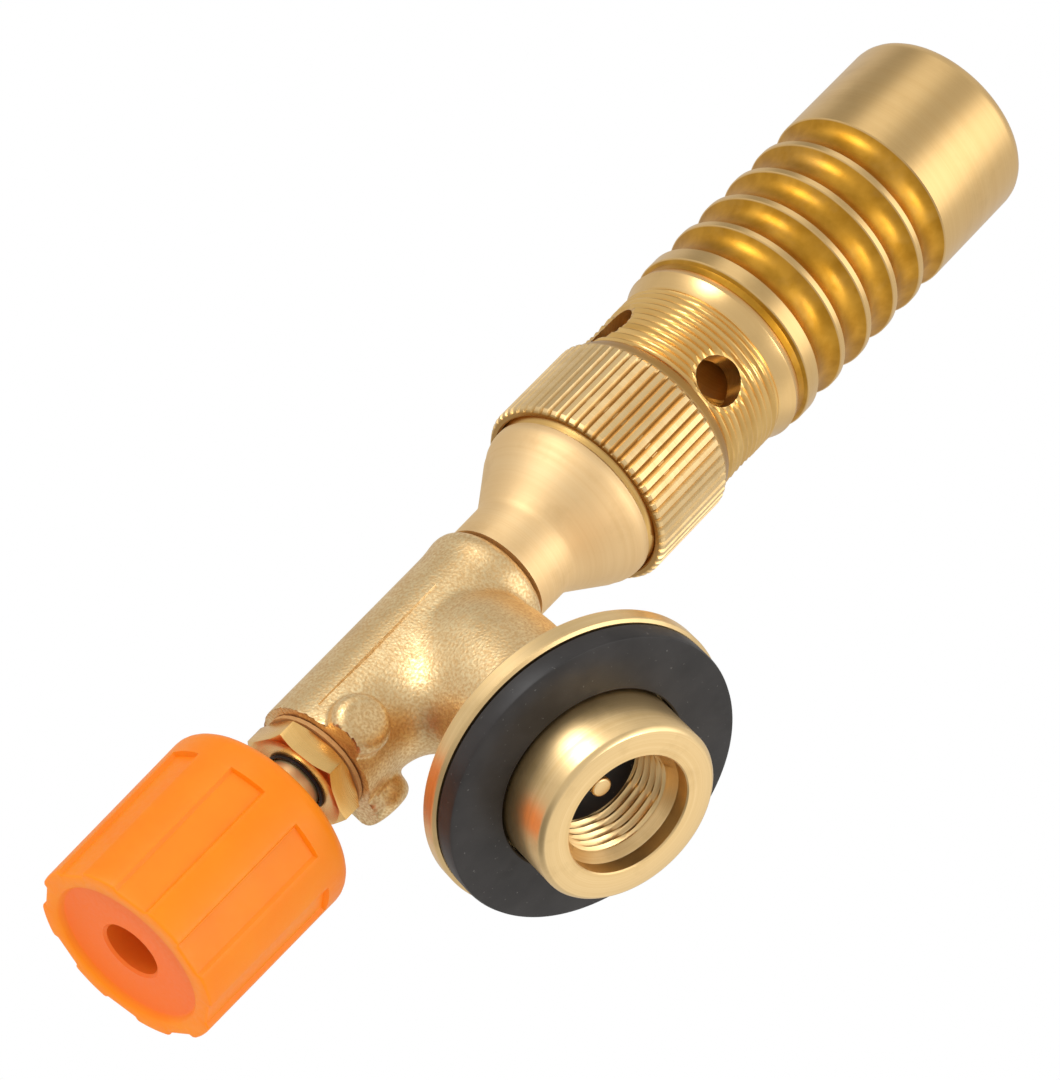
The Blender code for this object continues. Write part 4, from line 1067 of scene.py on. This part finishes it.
def makeDisc(shape):
    low, high, radius = spanOf("canister_disc", cartridgeAxis)
    edge = shape["chamfer"]
    points = [
        (shape["hole"], high), (radius - edge - 0.05, high), (radius - 0.06, high - edge * 0.75), (radius, high - edge - 0.05),
        (radius, low + edge + 0.05), (radius - 0.06, low + edge * 0.75), (radius - edge - 0.05, low), (shape["hole"], low),
    ]
    disc = spinProfile("brassDisc", points, 192)
    settle(disc, cartridgeAxis)
    finishPiece(disc, "torch_body", "canister_disc", discBrass, 24)


def makePad(shape):
    low, high, radius = spanOf("pad_washer", cartridgeAxis)
    edge = shape["chamfer"]
    points = [
        (shape["hole"], high), (radius - 0.1, high), (radius, high - 0.1), (radius, low + edge),
        (radius - edge * 0.3, low + edge * 0.25), (radius - edge, low), (radius - 2.5, low), (shape["hole"] + 1.5, low),
        (shape["hole"] + 0.15, low), (shape["hole"], low + 0.15),
    ]
    pad = spinProfile("rubberPad", points, 192)
    settle(pad, cartridgeAxis)
    finishPiece(pad, "torch_body", "pad_washer", padRubber, 30)


def makeSeal():
    low, high, radius = spanOf("inlet_seal", cartridgeAxis)
    outer = roundOff((radius - 0.55, low + 0.5), 0.5, 0, -90, 5)
    inner = roundOff((2.35, low + 0.45), 0.45, -90, -180, 5)
    points = [(radius, high), *outer, *inner, (1.9, low + 0.9), (1.15, low + 1.0), (1.15, high)]
    seal = spinProfile("innerSeal", points, 96)
    settle(seal, cartridgeAxis)
    finishPiece(seal, "torch_body", "inlet_seal", sealRubber, 40)


def makePin(shape):
    low, high, _ = spanOf("depressor_pin", cartridgeAxis)
    seat = spanOf("inlet_seal", cartridgeAxis)[1] + 0.2
    round0 = roundOff((0.95 - shape["point"], low + shape["point"]), shape["point"], 0, -90, 4)
    points = [
        (0.4, high), (shape["stem"], high), (shape["stem"], seat + 0.9), (shape["flange"], seat + 0.9),
        (shape["flange"], seat), (0.95, seat), *round0, (0, low), (0, low + 1.0), (0.4, low + 1.0),
    ]
    pin = spinProfile("openingPin", points, 64)
    settle(pin, cartridgeAxis)
    finishPiece(pin, "torch_body", "depressor_pin", bossBrass, 30)


makeDisc(discShape)
makePad(padShape)
makeSeal()
makePin(pinShape)
print("connector made")


# hidden pieces keep their CAD shape and get their finish

hiddenFinishes = {
    "gland_washer": brownFibre, "spindle_o_ring": ringRubber, "inlet_filter": porousBronze, "inlet_gasket": whitePtfe,
    "neck_gasket": whitePtfe, "jet_filter": porousBronze, "sleeve_friction_ring": zincSteel,
}
for nodeName, finish in hiddenFinishes.items():
    nodes[nodeName].data.materials.clear()
    nodes[nodeName].data.materials.append(finish)


# stage, light and camera

stageValues = {"size": 1.6, "drop": 0.6, "colour": (0.86, 0.86, 0.85)}
cameraValues = {
    "target": (9.973, -4.313, 30.313), "distance": 473.57, "azimuth": -23.104, "elevation": -42.432,
    "roll": -45.664, "lens": 177.38, "sensor": 36.0,
}
worldValues = {"base": (0.64, 0.635, 0.62)}
# clock angle round the camera's view (0 right, 90 up), angle away from the camera, soft edge, strength, colour
softSources = [
    ("upperLeft", 128, 62, (6, 30), 0.40, (1.0, 1.0, 1.0)),
    ("upper", 86, 75, (4, 24), 0.34, (1.0, 1.0, 1.0)),
    ("upperCard", 108, 104, (5, 26), -0.30, (1.0, 1.0, 1.0)),
    ("right", 5, 70, (12, 36), 0.98, (1.0, 0.99, 0.97)),
    ("lowerRight", 314, 97, (8, 30), 0.36, (1.0, 0.99, 0.96)),
    ("middleCard", 52, 62, (4, 30), -0.16, (1.0, 1.0, 1.0)),
    ("lowerLeftCard", 236, 66, (10, 42), -0.42, (1.0, 1.0, 1.0)),
]
lampValues = [
    # name, clock angle, angle away from the camera, distance, size, power, seen in reflections
    ("keyLamp", 120, 55, 0.45, 0.20, 0.65, True),
    ("sideLamp", 350, 52, 0.60, 0.22, 0.6, True),
    ("endFill", 232, 62, 0.50, 0.30, 1.0, False),
]


def wayTo(azimuth, elevation):
    a, e = math.radians(azimuth), math.radians(elevation)
    return Vector((math.sin(a) * math.cos(e), -math.cos(a) * math.cos(e), math.sin(e)))


def cameraTurn():
    way = wayTo(cameraValues["azimuth"], cameraValues["elevation"])
    return way.to_track_quat("Z", "Y").to_matrix().to_4x4() @ Matrix.Rotation(math.radians(cameraValues["roll"]), 4, "Z")


def fromCamera(clock, away):
    c, t = math.radians(clock), math.radians(away)
    return (cameraTurn() @ Vector((math.cos(c) * math.sin(t), math.sin(c) * math.sin(t), math.cos(t)))).normalized()


def makeStage(values):
    # pale floor, seen from above only, so that a view from under it stays clear
    lowest = cadBox[0][2] / mm
    deselectAll()
    bpy.ops.mesh.primitive_plane_add(size=values["size"], location=(0, 0, (lowest - values["drop"]) * mm))
    floor = bpy.context.object
    floor.name = "paleFloor"
    material = bpy.data.materials.new("paleFloor")
    material.use_nodes = True
    tree = material.node_tree
    shader = tree.nodes["Principled BSDF"]
    shader.inputs["Base Color"].default_value = (*values["colour"], 1)
    shader.inputs["Roughness"].default_value = 0.7
    clear = addNode(tree, "ShaderNodeBsdfTransparent")
    side = addNode(tree, "ShaderNodeNewGeometry")
    mixed = addNode(tree, "ShaderNodeMixShader")
    link(tree, side.outputs["Backfacing"], mixed.inputs[0])
    link(tree, shader.outputs[0], mixed.inputs[1])
    link(tree, clear.outputs[0], mixed.inputs[2])
    link(tree, mixed.outputs[0], tree.nodes["Material Output"].inputs["Surface"])
    floor.data.materials.append(material)
    floor.visible_shadow = False
    floor.visible_glossy = False
    floor.visible_diffuse = False


def softSourceGroup():
    tree, source, result = newGroup(
        "softSource",
        [("Vector", "NodeSocketVector", None), ("Way", "NodeSocketVector", None),
         ("Outer", "NodeSocketFloat", 0.5), ("Inner", "NodeSocketFloat", 0.9)],
        [("Value", "NodeSocketFloat")],
    )
    along = addNode(tree, "ShaderNodeVectorMath", operation="DOT_PRODUCT")
    link(tree, source.outputs["Vector"], along.inputs[0])
    link(tree, source.outputs["Way"], along.inputs[1])
    soft = addNode(tree, "ShaderNodeMapRange", interpolation_type="SMOOTHSTEP")
    link(tree, along.outputs["Value"], soft.inputs["Value"])
    link(tree, source.outputs["Outer"], soft.inputs["From Min"])
    link(tree, source.outputs["Inner"], soft.inputs["From Max"])
    link(tree, soft.outputs["Result"], result.inputs["Value"])
    return tree


def makeWorld(values):
    world = bpy.data.worlds.new("studio")
    bpy.context.scene.world = world
    world.use_nodes = True
    tree = world.node_tree
    background = tree.nodes["Background"]
    coordinates = addNode(tree, "ShaderNodeTexCoord")
    group = softSourceGroup()
    shade = None
    for name, clock, away, edge, strength, colour in softSources:
        source = useGroup(tree, group, coordinates.outputs["Generated"], Way=fromCamera(clock, away),
                          Outer=math.cos(math.radians(edge[1])), Inner=math.cos(math.radians(edge[0])))
        source.label = name
        lit = addNode(tree, "ShaderNodeVectorMath", operation="SCALE")
        lit.inputs[0].default_value = [c * strength for c in colour]
        link(tree, source.outputs["Value"], lit.inputs["Scale"])
        total = addNode(tree, "ShaderNodeVectorMath", operation="ADD")
        link(tree, lit.outputs[0], total.inputs[0])
        if shade:
            link(tree, shade, total.inputs[1])
        else:
            total.inputs[1].default_value = values["base"]
        shade = total.outputs[0]
    path = addNode(tree, "ShaderNodeLightPath")
    seen = mixColours(tree, path.outputs["Is Camera Ray"], shade, (1.0, 1.0, 1.0))
    link(tree, seen, background.inputs["Color"])


def makeLights(values):
    for name, clock, away, distance, size, power, shines in values:
        lamp = bpy.data.lights.new(name, "AREA")
        lamp.shape = "DISK"
        lamp.size = size
        lamp.energy = power
        holder = bpy.data.objects.new(name, lamp)
        bpy.context.scene.collection.objects.link(holder)
        way = fromCamera(clock, away)
        holder.location = crossing + way * distance
        holder.rotation_euler = way.to_track_quat("Z", "Y").to_euler()
        holder.visible_camera = False
        holder.visible_glossy = shines


def makeCamera(values):
    camera = bpy.data.objects.new("camera", bpy.data.cameras.new("camera"))
    bpy.context.scene.collection.objects.link(camera)
    way = wayTo(values["azimuth"], values["elevation"])
    place = (Vector(values["target"]) + way * values["distance"]) * mm
    camera.matrix_world = Matrix.Translation(place) @ cameraTurn()
    camera.data.lens = values["lens"]
    camera.data.sensor_width = values["sensor"]
    camera.data.clip_start = 0.01
    camera.data.clip_end = 10
    bpy.context.scene.camera = camera


makeStage(stageValues)
makeWorld(worldValues)
makeLights(lampValues)
makeCamera(cameraValues)
bpy.context.scene.view_settings.view_transform = "Standard"
print("stage, lights and camera made")
